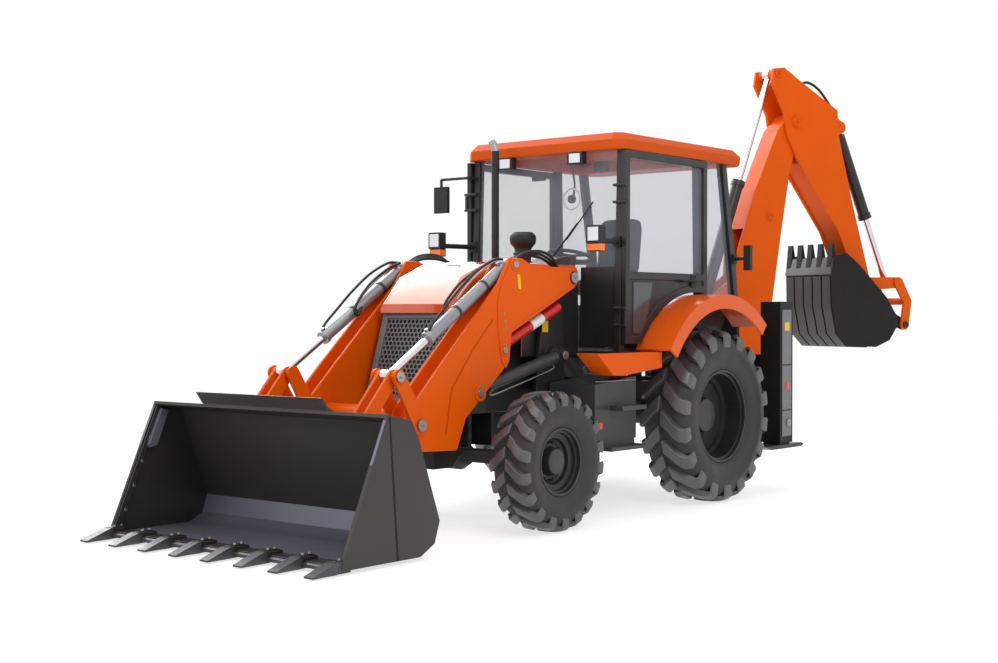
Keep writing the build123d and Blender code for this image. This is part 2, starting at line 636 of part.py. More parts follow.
def cab_roof():
    """The roof cap with chamfered edges, open below."""
    half = ROOF_HALF_WIDTH
    cap = block(ROOF_REAR_X, ROOF_FRONT_X, -half, half, CAB_TOP_Z, ROOF_TOP_Z)
    cap = chamfer(cap.edges().filter_by(Axis.Z), 90)
    cap = chamfer(cap.faces().sort_by(Axis.Z)[-1].edges(), 60)
    rib = PILLAR + 12
    hollow = block(C_PILLAR_TOP_X + 70, CAB_FRONT_X - POST_LEAN - rib - 40, -CAB_HALF_WIDTH + rib,
                   CAB_HALF_WIDTH - rib,
                   CAB_TOP_Z - 10, ROOF_TOP_Z - 2 * ROOF_SHEET)
    return cap - hollow


def cab_glass():
    """The fixed panes: windscreen, rear quarter windows and back window."""
    inner = CAB_HALF_WIDTH - PILLAR
    lean = POST_LEAN / (CAB_TOP_Z - CAB_FLOOR_Z)
    low_z = CAB_FLOOR_Z + RUNNING_GAP
    high_z = CAB_TOP_Z - RUNNING_GAP
    screen_x = CAB_FRONT_X - 30

    def screen_at(z):
        return screen_x - lean * (z - CAB_FLOOR_Z)
    screen = slab(poly((screen_at(low_z), low_z), (screen_at(low_z) + GLASS, low_z),
                       (screen_at(high_z) + GLASS, high_z),
                       (screen_at(high_z), high_z)), -inner + RUNNING_GAP, inner - RUNNING_GAP)
    back_lean = (C_PILLAR_TOP_X - C_PILLAR_LOW_X) / (CAB_TOP_Z - CAB_SHELF_Z)
    sill = CAB_SHELF_Z + RUNNING_GAP

    def back_at(z):
        return C_PILLAR_LOW_X - 8 + back_lean * (z - CAB_SHELF_Z)
    back = slab(poly((back_at(sill), sill), (back_at(sill) + GLASS, sill),
                     (back_at(high_z) + GLASS, high_z),
                     (back_at(high_z), high_z)), -inner + RUNNING_GAP, inner - RUNNING_GAP)
    middle_lean = 25 / (CAB_TOP_Z - CAB_SHELF_Z)

    def edge_rear(z):
        return C_PILLAR_LOW_X + 30 + back_lean * (z - CAB_SHELF_Z) + RUNNING_GAP

    def edge_front(z):
        return B_PILLAR_X - PILLAR / 2 - 25 + middle_lean * (z - CAB_SHELF_Z) - RUNNING_GAP
    quarter = slab(poly((edge_rear(sill), sill), (edge_front(sill), sill), (edge_front(high_z), high_z),
                        (edge_rear(high_z), high_z)), CAB_HALF_WIDTH - 36, CAB_HALF_WIDTH - 36 + GLASS)
    panes = [screen, back, quarter, mirror(quarter, about=Plane.XZ)]
    return Compound(children=[pane.solid() for pane in panes])


def door_outline(inset):
    """The door's side view: straight front, top and back, and a curve that follows the rear fender."""
    radius = DOOR_EDGE_R + inset
    arch_z = REAR_TYRE_R + sqrt(DOOR_EDGE_R ** 2 - (DOOR_FRONT_X - DOOR_FOOT) ** 2)
    low = max(DOOR_LOW_Z, arch_z) + inset
    front = DOOR_FRONT_X - inset
    back = DOOR_REAR_X + inset
    top = DOOR_TOP_Z - inset
    low_x = sqrt(radius ** 2 - (low - REAR_TYRE_R) ** 2)
    back_z = REAR_TYRE_R + sqrt(radius ** 2 - back ** 2)
    middle_x = (low_x + back) / 2
    middle_z = REAR_TYRE_R + sqrt(radius ** 2 - middle_x ** 2)
    return make_face([
        Line((low_x, low), (front, low)), Line((front, low), (front, top)), Line((front, top), (back, top)),
        Line((back, top), (back, back_z)), ThreePointArc((back, back_z), (middle_x, middle_z),
                                                         (low_x, low)),
    ])


def door():
    """The left door's frame with its window cut, and its pane."""
    y_low = CAB_HALF_WIDTH + DOOR_GAP
    y_high = y_low + DOOR_THICK
    frame = slab(door_outline(0), y_low, y_high)
    window = door_outline(DOOR_RAIL) & (Pos((DOOR_FRONT_X + DOOR_REAR_X) / 2, DOOR_WINDOW_LOW_Z + 1000)
                                        * Rectangle(2000, 2000))
    frame -= slab(window, y_low - 1, y_high + 1)
    recess = door_outline(DOOR_RAIL) - (Pos((DOOR_FRONT_X + DOOR_REAR_X) / 2,
                                            DOOR_WINDOW_LOW_Z + 1000 - DOOR_RAIL) * Rectangle(2000, 2000))
    frame -= slab(recess, y_high - 12, y_high + 1)
    pane = slab(offset(window, -RUNNING_GAP), y_low + 12, y_low + 12 + GLASS)
    hinge_x, hinge_y = DOOR_HINGE
    for z in DOOR_HINGE_HEIGHTS:
        frame += Pos(hinge_x, hinge_y, z) * Cylinder(13, DOOR_KNUCKLE)
        frame += block(hinge_x - 30, hinge_x, hinge_y - 10, hinge_y + 10, z - 50, z + 50)
    return frame, pane


def seat():
    """The operator's seat on its pedestal."""
    stand = block(SEAT_X - 170, SEAT_X + 110, -170, 170, CAB_SHELF_Z, CAB_SHELF_Z + 90)
    cushion = block(SEAT_X - 250, SEAT_X + 250, -250, 250, CAB_SHELF_Z + 90, CAB_SHELF_Z + 210)
    cushion = fillet(cushion.edges(), 35)
    back = slab(poly((SEAT_X - 245, CAB_SHELF_Z + 190), (SEAT_X - 120, CAB_SHELF_Z + 190),
                     (SEAT_X - 200, CAB_SHELF_Z + 760),
                     (SEAT_X - 300, CAB_SHELF_Z + 760)), -230, 230)
    back = fillet(back.edges().filter_by(Axis.Y), 30)
    return stand + cushion + back


def console():
    """The steering column with its wheel, and the side stand with the loader levers."""
    top = (660, 0, 2000)
    column = rod((840, 0, CAB_FLOOR_Z), top, 55) - block(600, 1000, -100, 100, CAB_FLOOR_Z - 100,
                                                         CAB_FLOOR_Z)
    tilt = Plane(origin=top, z_dir=Vector(*top) - Vector(840, 0, CAB_FLOOR_Z))
    ring = tilt * revolve(Plane.XZ * Pos(STEERING_WHEEL_R - 16, 0) * RegularPolygon(16, 8), axis=Axis.Z)
    for angle in (90, 210, 330):
        ring += tilt * Rot(0, 0, angle) * Pos((STEERING_WHEEL_R - 16) / 2, 0,
                                              0) * Box(STEERING_WHEEL_R - 16, 26, 16)
    stand = block(330, 640, -560, -420, CAB_FLOOR_Z, 1800)
    stand += rod((560, -490, 1790), (590, -490, 2010), 11) + Pos(590, -490,
                                                                 2025) * chamfer(Cylinder(26, 50).edges(),
                                                                                 9)
    return Compound(children=[*(column + ring).solids(), *stand.solids()])


def lamps():
    """Head lamps and rear lamps on their arms, and the work lamps below the roof's edge."""
    x, y, z = HEAD_LAMP
    head = block(x - 45, x + 45, y - 62, y + 62, z - 66, z + 66)
    head = chamfer(head.faces().sort_by(Axis.X)[0].edges(), 16)
    head += block(x - 36, x + 34, y - 56, y + 56, z - 128, z - 66)
    pad_z = z - 40
    pad_x = pillar_front(pad_z - 40) + RUNNING_GAP
    head += rod((x - 40, y - 20, pad_z), (pad_x + 20, CAB_HALF_WIDTH - 30, pad_z), 20)
    head += block(pad_x, pad_x + 30, CAB_HALF_WIDTH - PILLAR, CAB_HALF_WIDTH, pad_z - 40, pad_z + 40)
    work = block(ROOF_FRONT_X - 60, ROOF_FRONT_X - 2, ROOF_LAMP_Y - 75, ROOF_LAMP_Y + 75, CAB_TOP_Z - 95,
                 CAB_TOP_Z)
    rx, ry, rz = REAR_LAMP
    tail = block(rx - 20, rx + 20, ry - 32, ry + 32, rz - 105, rz + 105)
    post_x = C_PILLAR_LOW_X - 5 + (C_PILLAR_TOP_X - C_PILLAR_LOW_X) * (rz - CAB_SHELF_Z) / (CAB_TOP_Z
                                                                                            - CAB_SHELF_Z)
    tail += rod((rx, ry, rz), (post_x, CAB_HALF_WIDTH + 20, rz), 16)
    tail += block(post_x - 28, post_x + 28, CAB_HALF_WIDTH + RUNNING_GAP, CAB_HALF_WIDTH + 25, rz - 40,
                  rz + 40)
    solids = []
    for piece in (head, work, tail):
        solids += [*piece.solids(), *mirror(piece, about=Plane.XZ).solids()]
    return Compound(children=solids)


def mirrors():
    """The mirror on its bent arm at the right front post."""
    x, y, z = MIRROR
    root_x = pillar_front(z + 78) + 0.2
    root_y = -CAB_HALF_WIDTH + PILLAR / 2
    arm = rod((root_x, root_y, z + 90), (x, root_y, z + 90), 12) + rod((x, root_y, z + 90), (x, y, z + 90),
                                                                       12)
    arm += rod((x, y, z + 90), (x, y, z - 120), 12)
    arm += block(x - 22, x + 14, y - 75, y + 75, z - 190, z + 30)
    return arm


def loader_arms():
    """Two arms: cheek plates with a box beam between them in front and a bar behind."""
    outline = poly((ARM_PIVOT[0], ARM_PIVOT[1] + ARM_PIVOT_R), (1898, 1877), (2030, 1925), (2165, 1925),
                   (2290, 1745),
                   (2507, 1539), (2935, 1147), (3213, 880), (3250, 800),
                   (BUCKET_PIVOT[0] + 55, BUCKET_PIVOT[1] + 45),
                   (BUCKET_PIVOT[0] - 55, BUCKET_PIVOT[1] - 45),
                   (3103, 600), (2740, 585), (2645, 800), (2515, 905), (2244, 1120), (2170, 1190),
                   (2142, 1386),
                   (ARM_PIVOT[0] - 30, ARM_PIVOT[1] - ARM_PIVOT_R))
    outline += disc(ARM_PIVOT, ARM_PIVOT_R) + disc(BUCKET_PIVOT, 70)
    low = ARM_Y - ARM_WIDTH / 2
    high = ARM_Y + ARM_WIDTH / 2
    arm = slab(outline, low, high)
    slot = poly((ARM_PIVOT[0] - 150, ARM_PIVOT[1] - 170), (ARM_PIVOT[0] + 100, ARM_PIVOT[1] - 40),
                (1880, 1700), (2150, 1600),
                (2330, 1440), (2450, 1330), (2600, 1170), (2700, 1010), (2690, 900), (2620, 760),
                (2500, 700), (2000, 700))
    arm -= slab(slot, low + ARM_CHEEK, high - ARM_CHEEK)
    trough = poly((1960, 2050), (1960, 1800), (2060, 1780), (2200, 1680), (2507, 1430), (2700, 1250),
                  (2850, 1100),
                  (3135, 850), (3260, 745), (3500, 745), (3500, 2050))
    arm -= slab(trough, low + ARM_CHEEK, high - ARM_CHEEK)
    arm += across(TILT_BASE, low, ARM_Y - CYLINDER_EYE_HALF - RUNNING_GAP, 44)
    arm += across(TILT_BASE, ARM_Y + CYLINDER_EYE_HALF + RUNNING_GAP, high, 44)
    arm += across(TILT_BASE, low, high, CYLINDER_PIN_R)
    arm -= across(ARM_PIVOT, low - 1, high + 1, 34 + RUNNING_GAP)
    for pivot in (LEVER_PIVOT, BUCKET_PIVOT):
        arm += across(pivot, low - LINK_PLATE - 12, high + LINK_PLATE + 12, 32)
    tube = rod((CROSS_TUBE[0], -low, CROSS_TUBE[1]), (CROSS_TUBE[0], low, CROSS_TUBE[1]), CROSS_TUBE_R)
    return both(arm) + tube


STRUT_FRONT = (2235, 1265)
STRUT_REAR = (1500, 1575)


def safety_strut():
    """The stored strut between each arm's cheeks, held by its front pin."""
    front = (STRUT_FRONT[0], ARM_Y, STRUT_FRONT[1])
    tail = (STRUT_REAR[0], ARM_Y, STRUT_REAR[1])
    pole = rod(front, tail, STRUT_R)
    inside = ARM_WIDTH / 2 - ARM_CHEEK - RUNNING_GAP
    pole += across(STRUT_FRONT, ARM_Y - inside, ARM_Y + inside, 34)
    return pole


LIFT_ROD_SHOWING = 165
LIFT_BARREL_LENGTH = hypot(LIFT_EYE[0] - LIFT_BASE[0], LIFT_EYE[1] - LIFT_BASE[1]) - LIFT_ROD_SHOWING
LIFT_ROD_INSIDE = 160
TILT_BARREL_LENGTH = 1000
TILT_ROD_INSIDE = 480
BOOM_BARREL_LENGTH = 980
BOOM_ROD_INSIDE = 160
DIPPER_BARREL_LENGTH = 1200
DIPPER_ROD_INSIDE = 1010
HOE_BARREL_LENGTH = 950
HOE_ROD_INSIDE = 800


def lift_cylinders():
    return cylinder(LIFT_BASE, LIFT_EYE, ARM_Y, LIFT_BARREL_R, LIFT_ROD_R, LIFT_BARREL_LENGTH,
                    LIFT_ROD_INSIDE,
                    CYLINDER_EYE_R, CYLINDER_EYE_HALF, CYLINDER_PIN_R)


def tilt_cylinders():
    return cylinder(TILT_BASE, KNEE, ARM_Y, TILT_BARREL_R, TILT_ROD_R, TILT_BARREL_LENGTH, TILT_ROD_INSIDE,
                    CYLINDER_EYE_R, CYLINDER_EYE_HALF, CYLINDER_PIN_R)


def bucket_pin():
    """Where the tilt link meets the bucket: the lever, the link, the arm and the bucket make a parallelogram."""
    return (BUCKET_PIVOT[0] + KNEE[0] - LEVER_PIVOT[0], BUCKET_PIVOT[1] + KNEE[1] - LEVER_PIVOT[1])


def tilt_levers():
    """Two lever plates outside each arm, from the arm up to the knee."""
    outer = ARM_Y + ARM_WIDTH / 2 + RUNNING_GAP
    inner = ARM_Y - ARM_WIDTH / 2 - RUNNING_GAP
    shape = bar(LEVER_PIVOT, KNEE, 62, 52) - disc(LEVER_PIVOT, 32 + RUNNING_GAP)
    lever = slab(shape, outer, outer + LINK_PLATE) + slab(shape, inner - LINK_PLATE, inner)
    pin_end = CYLINDER_EYE_HALF + RUNNING_GAP + LINK_PLATE + RUNNING_GAP
    lever += across(KNEE, ARM_Y + pin_end, outer + 5, 40) + across(KNEE, inner - 5, ARM_Y - pin_end, 40)
    return lever


def tilt_links():
    """Two link plates beside each rod eye, from the knee down to the bucket."""
    near = CYLINDER_EYE_HALF + RUNNING_GAP
    shape = bar(KNEE, bucket_pin(), 48, 50) - disc(bucket_pin(), 26 + RUNNING_GAP)
    link = slab(shape, ARM_Y + near, ARM_Y + near + LINK_PLATE) + slab(shape, ARM_Y - near - LINK_PLATE,
                                                                       ARM_Y - near)
    return link


def loader_bucket():
    """The bucket: a bent sheet between two side plates, its hinge ears, its guard and its teeth."""
    heel = [(3690, BUCKET_FLOOR_Z), (3560, 95), (3512, 232), (3697, 739), (3766, 868)]
    top_front = (3979, 918)
    profile = poly((BUCKET_LIP_X, BUCKET_FLOOR_Z), *heel, top_front)
    reach = 400
    open_profile = poly((BUCKET_LIP_X + reach, BUCKET_FLOOR_Z), *heel,
                        (top_front[0] + reach, top_front[1] + 94))
    half = BUCKET_HALF_WIDTH
    shell = slab(profile, -half, half)
    shell -= slab(offset(open_profile, -BUCKET_SHEET, kind=Kind.INTERSECTION), -half + BUCKET_SHEET,
                  half - BUCKET_SHEET)
    guard = slab(poly((3880, 894), (3979, 917), (4040, 1000), (4020, 1000), (3965, 935)), -600, 600)
    shell += guard
    pitch = 2 * (half - TOOTH_WIDTH / 2 - 2) / (TOOTH_COUNT - 1)
    tooth = poly((4290, 14), (TOOTH_TIP_X, 10), (TOOTH_TIP_X, 22), (4400, 84), (4290, 74))
    for i in range(TOOTH_COUNT):
        y = -half + TOOTH_WIDTH / 2 + 2 + i * pitch
        shell += slab(tooth, y - TOOTH_WIDTH / 2, y + TOOTH_WIDTH / 2)
    pin = bucket_pin()
    arm_outer = ARM_Y + ARM_WIDTH / 2 + RUNNING_GAP
    arm_inner = ARM_Y - ARM_WIDTH / 2 - RUNNING_GAP
    ear = poly((3600, 230), (3660, 560), (BUCKET_PIVOT[0] + 20, BUCKET_PIVOT[1] + 60),
               (BUCKET_PIVOT[0] - 20, BUCKET_PIVOT[1] - 60),
               (3512, 240)) + disc(BUCKET_PIVOT, 62) - disc(BUCKET_PIVOT, 32 + RUNNING_GAP)
    ears = slab(ear, arm_outer, arm_outer + LINK_PLATE) + slab(ear, arm_inner - LINK_PLATE, arm_inner)
    near = CYLINDER_EYE_HALF + LINK_PLATE + 2 * RUNNING_GAP
    lug = bar(pin, (3720, 700), 50, 45)
    ears += slab(lug, ARM_Y + near, ARM_Y + near + LINK_PLATE) + slab(lug, ARM_Y - near - LINK_PLATE,
                                                                      ARM_Y - near)
    ears += across(pin, ARM_Y - near - LINK_PLATE, ARM_Y + near + LINK_PLATE, 26)
    bucket_hollow = slab(offset(open_profile, -BUCKET_SHEET, kind=Kind.INTERSECTION), -half + BUCKET_SHEET,
                         half - BUCKET_SHEET)
    return shell + (both(ears) - bucket_hollow)


def rear_frame():
    """Two cross rails with the leg housings at their ends, each housing open below."""
    x0, x1 = FRAME_REAR_X, FRAME_FRONT_X
    solids = []
    for z in (FRAME_LOW_RAIL_Z, FRAME_TOP_RAIL_Z):
        solids.append(block(x0, x0 + 90, -LEG_HOUSING_INNER_Y, LEG_HOUSING_INNER_Y, z,
                            z + FRAME_RAIL_HEIGHT))
    for sign in (1, -1):
        low = LEG_HOUSING_INNER_Y if sign > 0 else -LEG_HOUSING_OUTER_Y
        high = LEG_HOUSING_OUTER_Y if sign > 0 else -LEG_HOUSING_INNER_Y
        housing = block(x0, x1, low, high, LEG_HOUSING_LOW_Z, LEG_HOUSING_TOP_Z)
        wall = LEG_HOUSING_WALL
        housing -= block(x0 + wall, x1 - wall, low + wall, high - wall, LEG_HOUSING_LOW_Z - wall,
                         LEG_HOUSING_TOP_Z - wall)
        solids.append(housing)
    top = FRAME_TOP_RAIL_Z + FRAME_RAIL_HEIGHT
    for sign in (1, -1):
        inner = sign * RAIL_INNER_Y
        outer = sign * RAIL_OUTER_Y
        solids.append(block(x0 + 90, x1, min(inner, outer), max(inner, outer), FRAME_LOW_RAIL_Z, top))
    frame = solids[0]
    for solid in solids[1:]:
        frame += solid
    return frame


def stabiliser_leg(sign):
    """A box leg inside its housing, with a foot plate on gussets."""
    gap = LEG_HOUSING_WALL + LEG_GAP
    leg = block(FRAME_REAR_X + gap, FRAME_FRONT_X - gap, LEG_HOUSING_INNER_Y + gap,
                LEG_HOUSING_OUTER_Y - gap,
                FOOT_LOW_Z + FOOT_THICK, LEG_HOUSING_TOP_Z - LEG_HOUSING_WALL - 40)
    middle_y = (LEG_HOUSING_INNER_Y + LEG_HOUSING_OUTER_Y) / 2
    foot = slab(poly((FOOT_FRONT_X + 40, FOOT_LOW_Z + FOOT_THICK),
                     (FOOT_FRONT_X, FOOT_LOW_Z + FOOT_THICK / 2),
                     (FOOT_FRONT_X - 60, FOOT_LOW_Z), (FOOT_REAR_X + 60, FOOT_LOW_Z),
                     (FOOT_REAR_X, FOOT_LOW_Z + FOOT_THICK / 2),
                     (FOOT_REAR_X + 40, FOOT_LOW_Z + FOOT_THICK)), middle_y - 120, middle_y + 120)
    leg += foot
    return leg if sign > 0 else mirror(leg, about=Plane.XZ)


def carriage():
    """The side-shift plate that hangs on the frame rails, with two lugs that hold the kingpost."""
    face = FRAME_REAR_X - RUNNING_GAP
    half = CARRIAGE_HALF_WIDTH
    top = FRAME_TOP_RAIL_Z + FRAME_RAIL_HEIGHT
    plate = block(face - 60, face, -half, half, FRAME_LOW_RAIL_Z - 40, top + 40)
    plate += block(face - 60, face + 70, -half, half, top + RUNNING_GAP, top + 40)
    plate += block(face - 60, face + 70, -half, half, FRAME_LOW_RAIL_Z - 40, FRAME_LOW_RAIL_Z - RUNNING_GAP)
    for z in (FRAME_LOW_RAIL_Z - 10, FRAME_TOP_RAIL_Z + 40):
        lug = Pos(SWING_X, 0, z + 35) * Cylinder(115, 70) + block(SWING_X, face - 40, -110, 110, z, z + 70)
        plate += lug
    return plate - Pos(SWING_X, 0, 900) * Cylinder(KINGPIN_BORE_R + RUNNING_GAP, 1400)


LOW_LUG_TOP = FRAME_LOW_RAIL_Z - 10 + 70
TOP_LUG_LOW = FRAME_TOP_RAIL_Z + 40


def hoe_place(shape):
    """Swings a piece of the backhoe, modelled straight behind the swing axis, to where it rests."""
    return Pos(SWING_X, 0, 0) * Rot(0, 0, -SWING_REST) * shape


def back(point):
    """A point given by reach and height, as X and Z from the swing axis."""
    return (-point[0], point[1])


def outline_back(*points):
    return poly(*[back(point) for point in points])


def kingpost():
    """The swing post: its vertical pin, its column and the two plates that hold boom and cylinder."""
    inner = BOOM_HALF_WIDTH + RUNNING_GAP
    outer = inner + KINGPOST_PLATE
    gap = RUNNING_GAP
    post = Pos(0, 0, (LOW_LUG_TOP + TOP_LUG_LOW) / 2) * Cylinder(112, TOP_LUG_LOW - LOW_LUG_TOP - 2 * gap)
    post += Pos(0, 0, (LOW_LUG_TOP + TOP_LUG_LOW) / 2) * Cylinder(KINGPIN_BORE_R,
                                                                  TOP_LUG_LOW - LOW_LUG_TOP + 120)
    post += slab(outline_back((0, LOW_LUG_TOP + gap), (160, LOW_LUG_TOP + gap), (160, TOP_LUG_LOW - gap),
                              (0, TOP_LUG_LOW - gap)), -outer, outer)
    cheek = outline_back((90, LOW_LUG_TOP + gap), (BOOM_FOOT[0], BOOM_FOOT[1] - 85),
                         (BOOM_FOOT[0] + 50, BOOM_FOOT[1] + 60),
                         (300, 1210), (BOOM_CYLINDER_BASE[0] + 40, BOOM_CYLINDER_BASE[1] + 70),
                         (136, BOOM_CYLINDER_BASE[1] + 70), (136, 1000), (90, 1000))
    cheek += disc(back(BOOM_FOOT), 85)
    post += slab(cheek, inner, outer) + slab(cheek, -outer, -inner)
    post -= slab(disc(back(BOOM_FOOT), 175), -inner, inner)
    post += across(back(BOOM_FOOT), -outer - 12, outer + 12, 40)
    for low, high in ((HOE_EYE_HALF + gap, inner + 5), (-inner - 5, -HOE_EYE_HALF - gap)):
        post += across(back(BOOM_CYLINDER_BASE), low, high, 44)
    post -= slab(disc(back(BOOM_CYLINDER_BASE), HOE_EYE_R + 14), -HOE_EYE_HALF - gap, HOE_EYE_HALF + gap)
    return hoe_place(post + across(back(BOOM_CYLINDER_BASE), -outer, outer, HOE_PIN_R))


def boom():
    """The boom: two side plates, closed by sheets above and behind, open in front below for its cylinder."""
    outline = outline_back((BOOM_FOOT[0] + 80, BOOM_FOOT[1]), (640, 1300), (740, 1658), (839, 2273),
                           (945, 2872), (1083, 3349), (930, 3400),
                           (800, 3263), (535, 2685), (335, 2119), (318, 1850), (330, 1500),
                           (BOOM_FOOT[0] - 85, BOOM_FOOT[1]))
    outline += disc(back(BOOM_FOOT), 85) + disc(back(BOOM_TIP), 85)
    lug = outline_back((330, 1480), (330, 1900), (40, 1700), (0, 1590)) + disc(back(DIPPER_CYLINDER_BASE),
                                                                               62)
    half = BOOM_HALF_WIDTH
    body = slab(outline, -half, half) + slab(lug, -half, half)
    room = outline_back((-60, 1500), (-60, 1760), (335, 2150), (540, 2640), (790, 3140), (900, 3140),
                        (905, 2872), (800, 2273), (702, 1658),
                        (600, 1320), (590, 800), (100, 800))
    body -= slab(room, -half + BOOM_PLATE, half - BOOM_PLATE)
    body -= across(back(BOOM_FOOT), -half - 1, half + 1, 40 + RUNNING_GAP)
    gap = RUNNING_GAP
    for low, high in ((HOE_EYE_HALF + gap, half - BOOM_PLATE + 5),
                      (-half + BOOM_PLATE - 5, -HOE_EYE_HALF - gap)):
        body += across(back(DIPPER_CYLINDER_BASE), low, high, 44)
    body += across(back(DIPPER_CYLINDER_BASE), -half - 8, half + 8, HOE_PIN_R)
    for sign in (1, -1):
        face = sign * half
        body += across(back(BOOM_CYLINDER_EYE), min(face, face + sign * 14), max(face, face + sign * 14),
                       48)
    return hoe_place(body)


def dipper():
    """The dipper: two side plates that straddle the boom's tip, with a box between them beyond it."""
    plate = outline_back((720, 3830), (850, 3850), (1082, 3715), (1502, 3489), (1523, 3227), (1683, 2635),
                         (1904, 1909),
                         (HOE_BUCKET_PIVOT[0] + 60, HOE_BUCKET_PIVOT[1] + 40),
                         (HOE_BUCKET_PIVOT[0] - 60, HOE_BUCKET_PIVOT[1] - 40),
                         (1828, 1664), (1521, 2320), (1012, 2989), (880, 3230), (850, 3420), (700, 3700))
    plate += disc(back(HOE_BUCKET_PIVOT), 72)
    inner = DIPPER_HALF_WIDTH - DIPPER_PLATE
    outer = DIPPER_HALF_WIDTH
    body = slab(plate, inner, outer) + slab(plate, -outer, -inner)
    core = outline_back((1110, 3695), (1490, 3480), (1508, 3225), (1668, 2633), (1890, 1905), (1990, 1650),
                        (1900, 1600), (1838, 1680), (1535, 2325), (1060, 2960),
                        (1104, 3300))
    sheet = 22
    hollow = outline_back((1150, 3640), (1460, 3460), (1478, 3225), (1640, 2625), (1860, 1900),
                          (1900, 1720), (1850, 1720), (1555, 2340), (1095, 2960), (1140, 3300))
    body += slab(core, -inner - 2, inner + 2) - slab(hollow, -inner + sheet, inner - sheet)
    gap = RUNNING_GAP
    seat_low = HOE_EYE_HALF + gap
    lug = outline_back((1480, 3480), (HOE_CYLINDER_BASE[0], HOE_CYLINDER_BASE[1] + 58),
                       (HOE_CYLINDER_BASE[0], HOE_CYLINDER_BASE[1] - 58), (1515, 3180))
    lug += disc(back(HOE_CYLINDER_BASE), 58)
    body += slab(lug, seat_low, seat_low + 30) + slab(lug, -seat_low - 30, -seat_low)
    body += across(back(HOE_CYLINDER_BASE), -seat_low - 30, seat_low + 30, HOE_PIN_R)
    body += across(back(DIPPER_CYLINDER_EYE), seat_low, outer, 46) + across(back(DIPPER_CYLINDER_EYE),
                                                                            -outer, -seat_low, 46)
    body += across(back(GUIDE_PIVOT), -outer - LINK_PLATE - 14, outer + LINK_PLATE + 14, 34)
    tip_half = BOOM_HALF_WIDTH + gap
    body += across(back(BOOM_TIP), tip_half, outer + 14, 60) + across(back(BOOM_TIP), -outer - 14,
                                                                      -tip_half, 60)
    body -= slab(disc(back(HOE_BUCKET_PIVOT), 34 + gap), -outer - 1, outer + 1)
    return hoe_place(body)


def hoe_cylinder(base, eye, barrel_length, rod_inside):
    barrel, stem = cylinder(back(base), back(eye), 0, HOE_BARREL_R, HOE_ROD_R, barrel_length, rod_inside,
                            HOE_EYE_R, HOE_EYE_HALF,
                            HOE_PIN_R)
    return hoe_place(barrel), hoe_place(stem)


GUIDE_INNER = DIPPER_HALF_WIDTH + RUNNING_GAP
POWER_INNER = GUIDE_INNER + LINK_PLATE + RUNNING_GAP
POWER_OUTER = POWER_INNER + LINK_PLATE


def guide_links():
    """Two short links outside the dipper, from the dipper to the knee."""
    shape = bar(back(GUIDE_PIVOT), back(HOE_KNEE), 62, 54) - disc(back(GUIDE_PIVOT), 34 + RUNNING_GAP)
    links = slab(shape, GUIDE_INNER, GUIDE_INNER + LINK_PLATE)
    return hoe_place(both(links))


def power_link():
    """Two curved links from the knee to the bucket, joined by a cross tube."""
    bend = (2370, 1650)
    shape = bar(back(HOE_KNEE), back(bend), 54, 50) + bar(back(bend), back(HOE_LINK_PIN), 50, 50)
    shape -= disc(back(HOE_LINK_PIN), 28 + RUNNING_GAP)
    plates = both(slab(shape, POWER_INNER, POWER_OUTER))
    plates += across(back(bend), -POWER_INNER - 2, POWER_INNER + 2, 34)
    return hoe_place(plates)


def hoe_bucket():
    """The digging bucket, curled up: a bent sheet between two sides, its ears and its teeth."""
    profile = outline_back((1290, 2065), (1262, 1900), (1270, 1600), (1330, 1340), (1460, 1218),
                           (1830, 1206), (2000, 1270), (2110, 1420), (2100, 1500),
                           (1960, 1690), (1600, 2010), (1450, 2110))
    cavity = outline_back((1310, 2300), (1284, 1900), (1291, 1603), (1348, 1352), (1468, 1239),
                          (1825, 1227), (1990, 1288), (2085, 1420), (2060, 1500), (2100, 1560),
                          (2200, 1800), (1500, 2300))
    half = HOE_BUCKET_HALF_WIDTH
    body = slab(profile, -half, half)
    body -= slab(cavity, -half + HOE_BUCKET_SHEET, half - HOE_BUCKET_SHEET)
    inner = DIPPER_HALF_WIDTH + HOE_EAR_GAP
    ear = make_hull((disc(back(HOE_BUCKET_PIVOT), 76) + disc(back(HOE_LINK_PIN), 52)).edges())
    ear += outline_back((1930, 1300), (2010, 1262), (2200, 1400), (2060, 1480), (1980, 1470))
    body -= slab(disc(back(HOE_BUCKET_PIVOT), 96), -inner, inner)
    body += both(slab(ear, inner, POWER_INNER - RUNNING_GAP))
    body += across(back(HOE_BUCKET_PIVOT), -inner - 40, inner + 40, 34)
    body += across(back(HOE_LINK_PIN), -POWER_OUTER - 10, POWER_OUTER + 10, 28)
    pitch = 2 * (half - 36) / (HOE_TOOTH_COUNT - 1)
    tooth = outline_back((1262, 1960), (1286, 2195), (1298, 2195), (1325, 2050), (1310, 1960))
    for i in range(HOE_TOOTH_COUNT):
        y = -half + 36 + i * pitch
        body += slab(tooth, y - 34, y + 34)
    return hoe_place(body)


